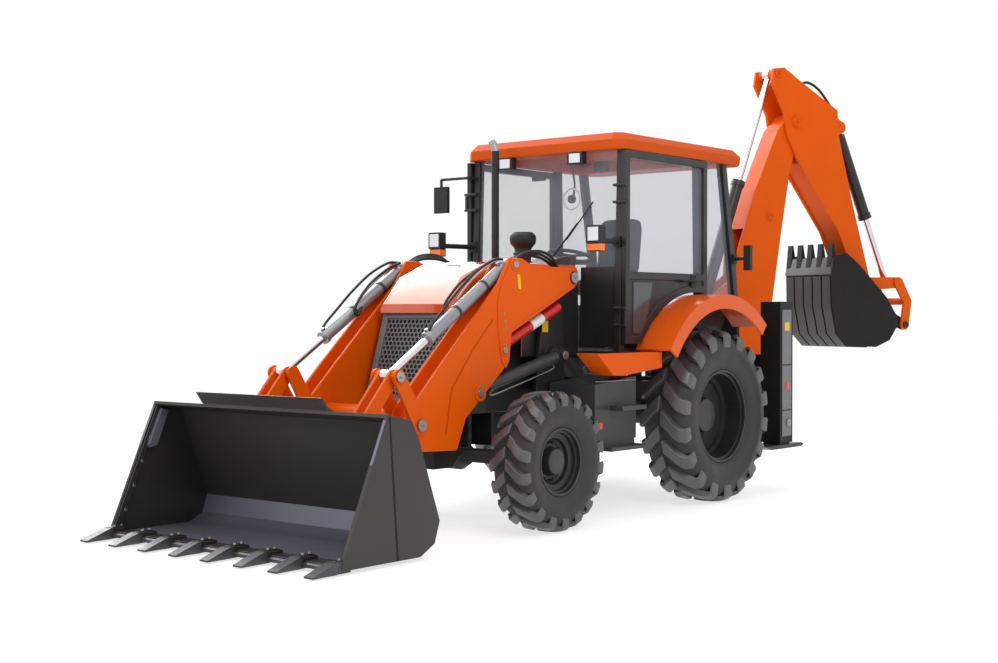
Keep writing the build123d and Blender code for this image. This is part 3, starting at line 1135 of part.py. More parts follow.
def nodes():
    """Every piece of the machine by its plain name."""
    lift_barrel, lift_rod = lift_cylinders()
    tilt_barrel, tilt_rod = tilt_cylinders()
    boom_barrel, boom_rod = hoe_cylinder(BOOM_CYLINDER_BASE, BOOM_CYLINDER_EYE, BOOM_BARREL_LENGTH,
                                         BOOM_ROD_INSIDE)
    dipper_barrel, dipper_rod = hoe_cylinder(DIPPER_CYLINDER_BASE, DIPPER_CYLINDER_EYE,
                                             DIPPER_BARREL_LENGTH, DIPPER_ROD_INSIDE)
    hoe_barrel, hoe_rod = hoe_cylinder(HOE_CYLINDER_BASE, HOE_KNEE, HOE_BARREL_LENGTH, HOE_ROD_INSIDE)
    door_frame, door_pane = door()
    pieces = wheels()
    pieces.update({
        "main_frame": main_frame(), "engine": engine(), "axles": axles(), "knuckle_left": knuckle(1),
        "knuckle_right": knuckle(-1),
        "hood": hood(), "grille": grille(), "cowl": cowl(), "stacks": stacks(), "side_tanks": side_tanks(),
        "skirts": skirts(),
        "fenders": fenders(), "cab_floor": cab_floor(), "cab_pillars": cab_pillars(),
        "cab_roof": cab_roof(),
        "cab_glass": cab_glass(), "door_left": door_frame, "door_glass_left": door_pane,
        "door_right": mirror(door_frame, about=Plane.XZ),
        "door_glass_right": mirror(door_pane, about=Plane.XZ),
        "seat": seat(), "console": console(), "lamps": lamps(), "mirrors": mirrors(),
        "loader_arms": loader_arms(), "safety_strut": both(safety_strut()),
        "lift_barrels": both(lift_barrel),
        "lift_rods": both(lift_rod), "tilt_barrels": both(tilt_barrel), "tilt_rods": both(tilt_rod),
        "tilt_levers": both(tilt_levers()), "tilt_links": both(tilt_links()),
        "loader_bucket": loader_bucket(),
        "rear_frame": rear_frame(), "stabiliser_left": stabiliser_leg(1),
        "stabiliser_right": stabiliser_leg(-1),
        "carriage": carriage(), "kingpost": kingpost(), "boom": boom(), "boom_barrel": boom_barrel,
        "boom_rod": boom_rod,
        "dipper": dipper(), "dipper_barrel": dipper_barrel, "dipper_rod": dipper_rod,
        "hoe_barrel": hoe_barrel, "hoe_rod": hoe_rod,
        "guide_links": guide_links(), "power_link": power_link(), "hoe_bucket": hoe_bucket(),
    })
    return pieces


def main():
    os.makedirs("parts", exist_ok=True)
    for name, piece in nodes().items():
        solids = [Pos(REAR_AXLE_X, 0, 0) * solid for solid in piece.solids()]
        export_step(solids[0] if len(solids) == 1 else Compound(children=solids), "parts/" + name + ".step")


if __name__ == "__main__":
    main()
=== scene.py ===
import json
from itertools import product
from math import cos, hypot, pi, radians, sin, tau

import bmesh
import bpy
from mathutils import Matrix, Vector


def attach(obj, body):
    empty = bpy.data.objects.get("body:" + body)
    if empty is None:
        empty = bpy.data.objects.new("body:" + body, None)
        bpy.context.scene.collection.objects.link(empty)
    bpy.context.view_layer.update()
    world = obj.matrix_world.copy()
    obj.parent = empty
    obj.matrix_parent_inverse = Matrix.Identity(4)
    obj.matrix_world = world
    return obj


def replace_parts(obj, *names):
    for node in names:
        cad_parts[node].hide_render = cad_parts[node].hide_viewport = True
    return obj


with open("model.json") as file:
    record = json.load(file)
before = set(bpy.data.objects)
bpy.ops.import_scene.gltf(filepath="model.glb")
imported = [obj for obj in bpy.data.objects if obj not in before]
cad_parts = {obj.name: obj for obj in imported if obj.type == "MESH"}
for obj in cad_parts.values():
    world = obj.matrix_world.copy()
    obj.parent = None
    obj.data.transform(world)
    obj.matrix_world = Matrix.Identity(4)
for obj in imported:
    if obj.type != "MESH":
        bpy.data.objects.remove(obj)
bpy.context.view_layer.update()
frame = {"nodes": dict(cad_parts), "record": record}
nodes = frame["nodes"]
slot_of = {part["node"]: part["material_slot"] for part in frame["record"]["subparts"]}
bodies = frame["record"]["behaviour"]["bodies"]
body_of = {node: body for body, members in bodies.items() for node in members}

# Places are written in millimetres from the rear axle, as in the part's source
REAR_AXLE_X = -448
SWING_X = -1380
SWING_REST = radians(22)
WHEELBASE = 2173
HOE_BUCKET_HALF = 330
LEFT, UP, FORWARD = Vector((0, 1, 0)), Vector((0, 0, 1)), Vector((1, 0, 0))
SIDES = (("left", 1), ("right", -1))

# Side offsets: the arms' middle and faces, the leg housings' faces, the loader bucket's sides and the doors
ARM_Y, ARM_FACE, CHEEK_FACE, BOSS_FACE = 505, 590, 597, 602
LEG_FACE, LEG_PANEL_FACE = 1062, 1066
BUCKET_INSIDE, BUCKET_EDGE, BUCKET_OUTSIDE = 1098, 1084, 1119
DOOR_FACE = 803

# Pins of the loader in side view
ARM_PIVOT, LIFT_BASE, LIFT_EYE = (1410, 1797), (1463, 1210), (2500, 968)
TILT_BASE, TILT_EYE = (2112, 1878), (3340, 1109)
STRUT_FOOT, STRUT_TOP = (2235, 1265), (1500, 1575)

# Each axle: its place, side offset, tyre radius, tyre width, rim radius and lug height
WHEELS = {"front": (WHEELBASE, 940, 491, 320, 240, 36), "rear": (0, 890, 697, 430, 375, 40)}
LUG_COUNT = 18


def at(x, y, z):
    """A point of the machine in metres."""
    return Vector(((x + REAR_AXLE_X) / 1000, y / 1000, z / 1000))


def hoe(reach, y, z):
    """A point of the backhoe, given by its reach behind the swing axis, its side offset and its height."""
    x = -reach * cos(SWING_REST) + y * sin(SWING_REST)
    return at(SWING_X + x, reach * sin(SWING_REST) + y * cos(SWING_REST), z)


HOE_SIDE = Vector((sin(SWING_REST), cos(SWING_REST), 0))


# Materials: scale and detail of the noise behind slow changes of shade and patches of gloss
SLOW, PATCHY = (2.3, 4.0), (9.0, 5.0)


def srgb(red, green, blue):
    """A colour written as on a screen, in linear light."""
    linear = [((c / 255 + 0.055) / 1.055) ** 2.4 if c > 10 else c / 255 / 12.92 for c in (red, green, blue)]
    return tuple(linear) + (1,)


def finish(name, colour, rough, metal=0.0, coat=0.0, grain=120.0, bump=0.05, spread=0.12, rough_spread=0.08,
           alpha=1.0, gloss=0.3):
    """A procedural finish: slow and fine changes of shade, of gloss and of surface."""
    material = bpy.data.materials.new(name)
    material.use_nodes = True
    tree = material.node_tree
    shader = tree.nodes["Principled BSDF"]
    shader.inputs["Metallic"].default_value = metal
    shader.inputs["Specular IOR Level"].default_value = gloss
    shader.inputs["Coat Weight"].default_value = coat
    shader.inputs["Coat Roughness"].default_value = 0.06
    shader.inputs["Alpha"].default_value = alpha
    place = tree.nodes.new("ShaderNodeTexCoord")

    def noise(scale, detail):
        node = tree.nodes.new("ShaderNodeTexNoise")
        node.inputs["Scale"].default_value = scale
        node.inputs["Detail"].default_value = detail
        tree.links.new(place.outputs["Object"], node.inputs["Vector"])
        return node.outputs["Fac"]

    def between(value, low, high):
        node = tree.nodes.new("ShaderNodeMapRange")
        node.inputs["From Min"].default_value = 0.3
        node.inputs["From Max"].default_value = 0.7
        node.inputs["To Min"].default_value = low
        node.inputs["To Max"].default_value = high
        tree.links.new(value, node.inputs["Value"])
        return node.outputs["Result"]

    slow = noise(*SLOW)
    fine = noise(grain, 3.0)
    shade = tree.nodes.new("ShaderNodeMix")
    shade.data_type = "RGBA"
    shade.inputs["A"].default_value = tuple(c * (1 - spread) for c in colour[:3]) + (1,)
    shade.inputs["B"].default_value = tuple(min(1.0, c * (1 + spread)) for c in colour[:3]) + (1,)
    tree.links.new(between(slow, 0.0, 1.0), shade.inputs["Factor"])
    tree.links.new(shade.outputs["Result"], shader.inputs["Base Color"])
    sheen = between(noise(*PATCHY), max(0.02, rough - rough_spread), rough + rough_spread)
    tree.links.new(sheen, shader.inputs["Roughness"])
    relief = tree.nodes.new("ShaderNodeBump")
    relief.inputs["Strength"].default_value = bump
    relief.inputs["Distance"].default_value = 0.002
    tree.links.new(fine, relief.inputs["Height"])
    tree.links.new(relief.outputs["Normal"], shader.inputs["Normal"])
    return material


ORANGE = finish("orange_enamel", srgb(222, 88, 4), 0.4, bump=0.0, spread=0.04, gloss=0.11)
# The cab roof's orange is a darker copy of the body orange: painted shade
SHADED_ORANGE = finish("roof_painted_shade", srgb(200, 78, 4), 0.5, bump=0.0, spread=0.03, rough_spread=0.02, gloss=0.12)
FENDER = finish("fender_enamel", srgb(222, 88, 4), 0.34, coat=0.3, grain=260, bump=0.01, spread=0.04,
                gloss=0.15)
ENAMEL = finish("polished_enamel", srgb(226, 84, 10), 0.2, coat=1.0, grain=260, bump=0.01, spread=0.04,
                gloss=0.4)
BLACK = finish("black_enamel", srgb(38, 37, 37), 0.4, coat=0.15, grain=200, bump=0.04)
CHARCOAL = finish("charcoal_enamel", srgb(58, 58, 60), 0.4, coat=0.1, grain=200, bump=0.04)
GRAPHITE = finish("graphite_enamel", srgb(112, 112, 116), 0.38, coat=0.1, grain=200, bump=0.04)
STEEL = finish("bucket_enamel", srgb(58, 53, 52), 0.36, metal=0.3, coat=0.2, bump=0.0, spread=0.06,
               rough_spread=0.03)
# Lighter, bluish bucket steel: a painted sheen on the bucket's floor and a painted reflection on its cutter
# plates
SHEEN_STEEL = finish("bucket_painted_sheen", srgb(112, 112, 124), 0.34, metal=0.3, bump=0.0, spread=0.05,
               rough_spread=0.03)
# A near-black finish, darker than the black enamel, for the digging bucket and the rear frame; it shows
# between the digging bucket's wear strips
NEAR_BLACK = finish("dark_enamel", srgb(24, 22, 21), 0.5, grain=200, bump=0.03, gloss=0.2)
TOOTH = finish("worn_steel", srgb(82, 82, 87), 0.36, metal=0.5, grain=120, bump=0.08, spread=0.16)
RUBBER = finish("rubber", srgb(55, 52, 51), 0.56, grain=400, bump=0.12, spread=0.12)
# Lug rubber: the tyre rubber made lighter, a painted highlight on the lugs
HIGHLIT_RUBBER = finish("tread_painted_highlight", srgb(75, 72, 72), 0.4, grain=300, bump=0.1, spread=0.12, gloss=0.7)
CHROME = finish("hard_chrome", srgb(215, 216, 220), 0.12, metal=1.0, grain=300, bump=0.01, spread=0.03,
                rough_spread=0.04)
SILVER = finish("silver_enamel", srgb(146, 148, 151), 0.34, metal=0.45, grain=240, bump=0.03)
ZINC = finish("zinc_plate", srgb(150, 150, 148), 0.32, metal=0.9, grain=180, bump=0.04, spread=0.2)
RED = finish("red_enamel", srgb(196, 32, 24), 0.35, coat=0.3, grain=240, bump=0.02, spread=0.06)
WHITE = finish("white_film", srgb(232, 232, 228), 0.4, grain=240, bump=0.01, spread=0.03)
YELLOW = finish("yellow_film", srgb(240, 190, 20), 0.4, grain=240, bump=0.01, spread=0.03)
PLASTIC = finish("moulded_plastic", srgb(34, 34, 35), 0.55, grain=300, bump=0.03)
CLOTH = finish("seat_cloth", srgb(36, 36, 38), 0.9, grain=900, bump=0.3, spread=0.2)
GASKET = finish("window_rubber", srgb(22, 22, 22), 0.7, grain=300, bump=0.08)
IRON = finish("cast_iron", srgb(48, 48, 49), 0.6, grain=70, bump=0.2, spread=0.2)
LENS = finish("clear_lens", srgb(225, 230, 235), 0.1, metal=0.6, grain=60, bump=0.3, spread=0.1)
AMBER = finish("amber_lens", srgb(250, 120, 10), 0.2, coat=0.5, grain=80, bump=0.2, spread=0.08)
RUBY = finish("red_lens", srgb(214, 42, 22), 0.2, coat=0.5, grain=80, bump=0.2, spread=0.08)
MIRROR = finish("mirror_glass", srgb(205, 212, 218), 0.04, metal=1.0, bump=0.0, spread=0.02,
                rough_spread=0.01)
GLASS = finish("tinted_glass", srgb(172, 182, 194), 0.04, grain=30, bump=0.0, spread=0.04,
               rough_spread=0.01, alpha=0.16)
DARK_GLASS = finish("dark_glass", srgb(66, 69, 73), 0.1, coat=0.5, grain=30, bump=0.0, spread=0.06,
                    rough_spread=0.02)


# Meshes

def piece(name, bm, material, body, smooth=True):
    """Turns the faces of a shape outward and adds it as a piece that rides on a body."""
    bmesh.ops.recalc_face_normals(bm, faces=bm.faces)
    mesh = bpy.data.meshes.new(name)
    bm.to_mesh(mesh)
    bm.free()
    thing = bpy.data.objects.new(name, mesh)
    bpy.context.scene.collection.objects.link(thing)
    mesh.materials.append(material)
    if smooth:
        mesh.polygons.foreach_set("use_smooth", [True] * len(mesh.polygons))
    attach(thing, body)
    return thing


def round_edges(thing, width, angle=28, tight=False, miter="MITER_ARC"):
    """Rounds edges and keeps flat faces flat in shade; tight stops where two roundings would meet."""
    bevel = thing.modifiers.new("round", "BEVEL")
    bevel.width = width / 1000
    bevel.segments = 2
    bevel.limit_method = "ANGLE"
    bevel.angle_limit = radians(angle)
    bevel.use_clamp_overlap = tight
    bevel.miter_outer = miter
    even = thing.modifiers.new("even", "WEIGHTED_NORMAL")
    even.keep_sharp = True
    return thing


def skin(node, material, width):
    """A node's own shape with rounded edges, in place of the sharp solid."""
    bm = bmesh.new()
    bm.from_mesh(nodes[node].data)
    bmesh.ops.remove_doubles(bm, verts=bm.verts, dist=0.00001)
    bmesh.ops.dissolve_limit(bm, angle_limit=radians(0.6), verts=bm.verts, edges=bm.edges)
    thing = piece(node + "_skin", bm, material, body_of[node])
    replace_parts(thing, node)
    miter = "MITER_SHARP" if node in SQUARE else "MITER_ARC"
    return round_edges(thing, width, tight=node in TIGHT, miter=miter)


def two_tone(thing, *bands):
    """Gives other finishes to the faces of a piece above each height in metres."""
    for material, low in bands:
        thing.data.materials.append(material)
    for face in thing.data.polygons:
        face.material_index = sum(face.center.z > low for material, low in bands)


def basis(origin, axis):
    """A frame at a point whose Z runs along an axis."""
    z = axis.normalized()
    helper = UP if abs(z.dot(UP)) < 0.95 else FORWARD
    x = helper.cross(z).normalized()
    y = z.cross(x)
    matrix = Matrix((x, y, z)).transposed().to_4x4()
    matrix.translation = origin
    return matrix


def outward(spot, offset, sign):
    """A frame on one side of the machine, at a spot in side view, whose Z runs outward."""
    return basis(at(spot[0], sign * offset, spot[1]), LEFT * sign)


class Batch:
    """Many small like pieces on one body, kept as one mesh."""

    def __init__(self, name, body, material, slot, edge=0.0):
        self.bm = bmesh.new()
        self.name, self.body, self.material, self.slot, self.edge = name, body, material, slot, edge

    def ring(self, matrix, profile, sides=24):
        """A turned shape about the matrix's Z axis, from (height, radius) pairs in millimetres."""
        rows = []
        for height, radius in profile:
            if radius < 0.01:
                rows.append([self.bm.verts.new(matrix @ Vector((0, 0, height / 1000)))])
                continue
            row = []
            for i in range(sides):
                angle = tau * i / sides
                spot = Vector((radius * cos(angle), radius * sin(angle), height)) / 1000
                row.append(self.bm.verts.new(matrix @ spot))
            rows.append(row)
        for low, high in zip(rows, rows[1:]):
            for i in range(sides):
                j = (i + 1) % sides
                ends = [low[0]] if len(low) == 1 else [low[i], low[j]]
                ends += [high[0]] if len(high) == 1 else [high[j], high[i]]
                if len(ends) > 2:
                    self.bm.faces.new(ends)
        return self

    def disc(self, matrix, radius, height, sides=24):
        """A short round boss or pin head with a softened rim."""
        rim = min(height, radius) * 0.2
        profile = [(0, radius), (height - rim, radius), (height - 0.3 * rim, radius - 0.3 * rim),
                   (height, radius - rim), (height, 0)]
        return self.ring(matrix, profile, sides)

    def bolt(self, matrix, size):
        """A hexagon bolt head on its washer."""
        self.ring(matrix, [(0, size), (0.18 * size, size), (0.18 * size, 0.85 * size)], 16)
        head = [(0.1 * size, 0.82 * size), (0.62 * size, 0.82 * size), (0.72 * size, 0.7 * size),
                (0.72 * size, 0)]
        return self.ring(matrix, head, 6)

    def box(self, low, high):
        """A plain block between two corners in metres."""
        return self.block(product(*zip(low, high)))

    def block(self, corners):
        """A block from eight corners, listed with the last direction changing first."""
        verts = [self.bm.verts.new(corner) for corner in corners]
        for quad in ((0, 1, 3, 2), (4, 6, 7, 5), (0, 4, 5, 1), (2, 3, 7, 6), (0, 2, 6, 4), (1, 5, 7, 3)):
            self.bm.faces.new([verts[i] for i in quad])
        return self

    def tube(self, points, radius, sides=10):
        """A bent pipe with closed ends along points in metres."""
        rows = []
        turns = [tau * k / sides for k in range(sides)]
        circle = [Vector((radius / 1000 * cos(turn), radius / 1000 * sin(turn), 0)) for turn in turns]
        for i, point in enumerate(points):
            before = points[max(i - 1, 0)]
            after = points[min(i + 1, len(points) - 1)]
            matrix = basis(point, after - before)
            rows.append([self.bm.verts.new(matrix @ spot) for spot in circle])
        for low, high in zip(rows, rows[1:]):
            for k in range(sides):
                self.bm.faces.new([low[k], low[(k + 1) % sides], high[(k + 1) % sides], high[k]])
        self.bm.faces.new(rows[0])
        self.bm.faces.new(rows[-1])
        return self

    def prism(self, points, low, high, place=at):
        """A flat plate: an outline in side view, from one side offset to another."""
        rings = [[self.bm.verts.new(place(x, y, z)) for x, z in points] for y in (low, high)]
        count = len(points)
        for i in range(count):
            j = (i + 1) % count
            self.bm.faces.new([rings[0][i], rings[0][j], rings[1][j], rings[1][i]])
        self.bm.faces.new(rings[0])
        self.bm.faces.new(list(reversed(rings[1])))
        return self

    def done(self):
        """Adds the batch as one piece with softened edges."""
        thing = piece(self.name, self.bm, self.material, self.body)
        return round_edges(thing, self.edge, 35)


def smooth_path(points, steps=8):
    """Points along a smooth curve through the given ones."""
    path = []
    for i in range(len(points) - 1):
        a = points[max(i - 1, 0)]
        b, c = points[i], points[i + 1]
        d = points[min(i + 2, len(points) - 1)]
        for k in range(steps):
            t = k / steps
            bend = (2 * a - 5 * b + 4 * c - d) * t * t
            twist = (3 * b - a - 3 * c + d) * t ** 3
            path.append(0.5 * ((2 * b) + (c - a) * t + bend + twist))
    path.append(points[-1])
    return path


def rectangle(x_low, x_high, z_low, z_high):
    """An upright outline in side view."""
    return [(x_low, z_low), (x_high, z_low), (x_high, z_high), (x_low, z_high)]


# Rounded skins of the painted pieces: tight ones have edges close together, square ones keep their corners
TIGHT = ("dipper", "loader_bucket", "hoe_bucket", "axles", "lamps")
SQUARE = ("main_frame", "stabiliser_left", "stabiliser_right")
SKINS = [
    (ENAMEL, 6, ("hood",)),
    (FENDER, 6, ("fenders",)),
    (ORANGE, 6, ("skirts", "loader_arms", "boom", "dipper")),
    (SHADED_ORANGE, 6, ("cab_roof",)),
    (ORANGE, 3, ("tilt_levers", "tilt_links", "guide_links", "power_link")),
    (BLACK, 5, ("cowl", "main_frame", "cab_floor", "carriage", "kingpost", "stabiliser_left",
                "stabiliser_right")),
    (BLACK, 4, ("cab_pillars", "door_left", "door_right")),
    (CHARCOAL, 6, ("side_tanks",)),
    (STEEL, 4, ("loader_bucket",)),
    (NEAR_BLACK, 4, ("hoe_bucket", "rear_frame")),
    (IRON, 8, ("engine", "axles", "knuckle_left", "knuckle_right")),
    (PLASTIC, 4, ("lamps", "mirrors", "console", "stacks")),
]
skins = {node: skin(node, material, width) for material, width, names in SKINS for node in names}
two_tone(skins["cowl"], (ENAMEL, 1.79), (CHARCOAL, 1.912))
two_tone(skins["stacks"], (SILVER, 2.8))
# Up-facing faces low in the loader bucket take the lighter steel, a painted sheen
bucket_sheet = skins["loader_bucket"].data
bucket_sheet.materials.append(SHEEN_STEEL)
for face in bucket_sheet.polygons:
    face.material_index = int(face.normal.z > 0.2 and face.center.z < 0.42 and abs(face.center.y) < 1.1)

# Solids that show as they are, with their finishes
KEPT = {
    "front_rim_left": BLACK, "front_rim_right": BLACK, "rear_rim_left": BLACK, "rear_rim_right": BLACK,
    "cab_glass": GLASS, "door_glass_left": GLASS, "door_glass_right": GLASS, "safety_strut": RED,
    "lift_barrels": CHARCOAL, "tilt_barrels": SILVER,
    "boom_barrel": BLACK, "dipper_barrel": BLACK, "hoe_barrel": BLACK,
    "lift_rods": CHROME, "tilt_rods": CHROME, "boom_rod": CHROME, "dipper_rod": CHROME, "hoe_rod": CHROME,
}
for node, material in KEPT.items():
    nodes[node].data.materials.clear()
    nodes[node].data.materials.append(material)


# Tyres

def tyre(node, centre, side, radius, width, rim_r, lug_height):
    """A turned carcass, and curved lugs that run from its middle over the shoulders."""
    carcass = radius - lug_height

    # Each row of the half section: share of the width, radius
    profile = [
        (-0.36, rim_r + 1), (-0.40, rim_r + 16), (-0.455, rim_r + 0.10 * radius),
        (-0.49, rim_r + 0.20 * radius), (-0.497, 0.5 * (rim_r + carcass)),
        (-0.485, carcass - 0.16 * radius), (-0.455, carcass - 0.075 * radius),
        (-0.40, carcass - 0.03 * radius), (-0.25, carcass - 0.008 * radius), (0, carcass),
    ]
    profile = [(a * width, r) for a, r in profile]
    profile = profile + [(-a, r) for a, r in reversed(profile[:-1])]
    matrix = basis(centre, LEFT * side)
    body, slot = body_of[node], slot_of[node]
    wall = Batch(node + "_carcass", body, RUBBER, slot)
    wall.ring(matrix, profile + [profile[0]], 72)
    thing = piece(wall.name, wall.bm, RUBBER, body)
    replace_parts(thing, node)

    # Each row of a lug: share of the width, share of the radius, run along the tread in half pitches
    rows_of = [
        (0.015, 1.0, -0.15), (0.07, 1.0, 0.0), (0.16, 0.999, 0.25), (0.26, 0.996, 0.66),
        (0.36, 0.988, 0.95), (0.43, 0.972, 1.05), (0.478, 0.945, 1.08), (0.496, 0.91, 1.08),
        (0.494, 0.85, 1.08), (0.482, 0.80, 1.08),
    ]
    step = pi / LUG_COUNT
    bars = bmesh.new()
    for half in (1, -1):
        for i in range(LUG_COUNT):
            rows = []
            for share, reach, run in rows_of:
                middle = side * (2 * i + (1 if half > 0 else 2) + run) * step - pi / 2
                top = reach * radius
                foot = min(top - 8, carcass - 14)
                wide = 0.5 * step * (1.0 if share < 0.4 else 0.92)
                row = []
                section = ((foot, 1.25 * wide), (top, 0.92 * wide), (top, -0.92 * wide),
                           (foot, -1.25 * wide))
                for r, spread in section:
                    inward = 0.028 if reach < 0.92 and r == foot else 0.0
                    turn = middle + spread
                    spot = Vector((r * cos(turn), r * sin(turn), half * (share - inward) * width)) / 1000
                    row.append(bars.verts.new(matrix @ spot))
                rows.append(row)
            for low, high in zip(rows, rows[1:]):
                for k in range(4):
                    bars.faces.new([low[k], low[(k + 1) % 4], high[(k + 1) % 4], high[k]])
            bars.faces.new(rows[0])
            bars.faces.new(rows[-1])
    # The lugs take the lighter rubber, a painted highlight
    lugs = piece(node + "_lugs", bars, HIGHLIT_RUBBER, body)
    round_edges(lugs, 7, 30)


for side, sign in SIDES:
    for end, (x, y, radius, width, rim_r, lug_height) in WHEELS.items():
        tyre(end + "_tyre_" + side, at(x, sign * y, radius), sign, radius, width, rim_r, lug_height)


# Radiator guard: a frame round a sheet with six-sided holes
GRILLE_LOW, GRILLE_TOP = (2686, 880), (2483, 1524.6)
GRILLE_HALF, GRILLE_DEPTH = 358, 55
GRILLE_RUN = hypot(GRILLE_TOP[0] - GRILLE_LOW[0], GRILLE_TOP[1] - GRILLE_LOW[1])


def on_grille(y, run, depth):
    """A point of the guard: across, up its slope, and behind its face."""
    share = run / GRILLE_RUN
    x = GRILLE_LOW[0] + (GRILLE_TOP[0] - GRILLE_LOW[0]) * share - depth
    return at(x, y, GRILLE_LOW[1] + (GRILLE_TOP[1] - GRILLE_LOW[1]) * share)


def radiator_guard():
    """The guard's frame, the dark core behind it and the sheet with holes."""
    side, sill, head = 52, 46, 34
    inner = GRILLE_HALF - side
    frame_bars = Batch("grille_frame", "root", GRAPHITE, "grey_paint", 4)
    panels = [(-GRILLE_HALF, -inner, 0, GRILLE_RUN), (inner, GRILLE_HALF, 0, GRILLE_RUN),
              (-inner, inner, 0, sill), (-inner, inner, GRILLE_RUN - head, GRILLE_RUN)]
    for y_low, y_high, low, high in panels:
        spots = product((y_low, y_high), (low, high), (0, GRILLE_DEPTH))
        frame_bars.block([on_grille(*spot) for spot in spots])
    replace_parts(frame_bars.done(), "grille")
    back = Batch("radiator_core", "root", PLASTIC, "black_paint", 1)
    core_half, core_low, core_high, core_depth = 300, 50, GRILLE_RUN - 38, 46
    outline = rectangle(-core_half, core_half, core_low, core_high)
    back.bm.faces.new([back.bm.verts.new(on_grille(y, run, core_depth)) for y, run in outline])
    back.done()
    holes = bmesh.new()
    pitch, hole_share, tuck, sheet_depth = 39.0, 0.73, 14, 14
    rise = pitch * 0.866
    outer_r, inner_r = pitch / 3 ** 0.5, hole_share * pitch / 3 ** 0.5
    ring = [(cos(tau * (k + 0.5) / 6), sin(tau * (k + 0.5) / 6)) for k in range(6)]
    for row in range(int((GRILLE_RUN - sill - head) / rise) + 2):
        run = sill - 4 + row * rise
        shift = pitch / 2 if row % 2 else 0
        for column in range(-9, 10):
            y = column * pitch + shift
            if abs(y) > inner + tuck or run > GRILLE_RUN - head + tuck:
                continue
            rim, hole = [], []
            for loop, r in ((rim, outer_r), (hole, inner_r)):
                for c, s in ring:
                    loop.append(holes.verts.new(on_grille(y + r * c, run + r * s, sheet_depth)))
            for k in range(6):
                m = (k + 1) % 6
                holes.faces.new([rim[k], rim[m], hole[m], hole[k]])
    bmesh.ops.remove_doubles(holes, verts=holes.verts, dist=0.0005)
    sheet = piece("grille_sheet", holes, GRAPHITE, "root", smooth=False)
    thick = sheet.modifiers.new("thick", "SOLIDIFY")
    thick.thickness = 0.004


radiator_guard()

# Pins, bolts and washers on the loader
arm_pins = Batch("loader_pins", "loader_arms", ZINC, "chrome", 1.5)
arm_bosses = Batch("loader_bosses", "loader_arms", ORANGE, "orange_paint", 2)
bucket_pins = Batch("bucket_pins", "loader_bucket", ZINC, "chrome", 1.5)
lever_pins = Batch("lever_pins", "tilt_levers", ZINC, "chrome", 1.5)
tower_pins = Batch("tower_pins", "root", ZINC, "chrome", 1.5)
for sign in (1, -1):
    for (x, z), radius in ((LIFT_EYE, 58), (TILT_BASE, 50), (STRUT_FOOT, 46)):
        arm_bosses.disc(outward((x, z), ARM_FACE, sign), radius, BOSS_FACE - ARM_FACE)
        arm_pins.disc(outward((x, z), BOSS_FACE, sign), 0.55 * radius, 7)
        arm_pins.bolt(outward((x, z + 0.78 * radius), BOSS_FACE, sign), 9)
    for spot in ((3135, 780), (3440, 430)):
        arm_pins.disc(outward(spot, 626, sign), 40, 8)
        arm_pins.bolt(outward(spot, 634, sign), 11)
    for k in range(3):
        arm_pins.bolt(outward((2216 + 10 * k, 1420 + 52 * k), ARM_FACE, sign), 13)
    lever_pins.disc(outward(TILT_EYE, 614.4, sign), 36, 16)
    lever_pins.bolt(outward(TILT_EYE, 630, sign), 11)
    tower_pins.disc(outward(ARM_PIVOT, 604, sign), 42, 9)
    tower_pins.bolt(outward(ARM_PIVOT, 613, sign), 12)
    tower_pins.disc(outward(LIFT_BASE, 559, sign), 34, 8)
for batch in (arm_pins, arm_bosses, lever_pins, tower_pins):
    batch.done()

# Outer cheek plates and welded seams of the arms
CHEEK = [
    (1420, 1850), (1890, 1858), (2034, 1906), (2150, 1906), (2262, 1752), (2312, 1600), (2300, 1400),
    (2262, 1180), (2215, 1135), (2178, 1190), (2160, 1380), (2080, 1455), (1420, 1745),
]
SEAM = [(2360, 1480), (2560, 1290), (2800, 1010), (2860, 700)]
cheeks = Batch("arm_cheeks", "loader_arms", ORANGE, "orange_paint", 3)
for sign in (1, -1):
    cheeks.prism(CHEEK, sign * ARM_FACE, sign * CHEEK_FACE)
    cheeks.tube([at(x, sign * ARM_FACE, z) for x, z in SEAM], 6, 8)
cheeks.done()


# Cylinders: ports, pipes and hoses that ride on the barrels

def along(base, eye, y, run, rise):
    """A point beside a cylinder: along it from its base, and off its axis."""
    length = hypot(eye[0] - base[0], eye[1] - base[1])
    ux, uz = (eye[0] - base[0]) / length, (eye[1] - base[1]) / length
    return at(base[0] + ux * run - uz * rise, y, base[1] + uz * run + ux * rise)


TILT, LIFT, STRUT = (TILT_BASE, TILT_EYE), (LIFT_BASE, LIFT_EYE), (STRUT_FOOT, STRUT_TOP)

# Routes beside a cylinder: run and rise, and for the looped hose the offset inward
UPPER = ((30, 62), (120, 108), (330, 136), (560, 122), (760, 92), (900, 70), (958, 50))
LOWER = ((34, 58), (150, 78), (330, 84), (470, 70), (560, 50))
LOOPED = ((40, 66, 30), (200, 100, 40), (420, 112, 58), (600, 80, 70), (690, 30, 72), (660, -12, 66),
          (590, 10, 52))
PIPE = ((110, -46), (118, -72), (300, -78), (620, -78), (850, -74), (872, -48))

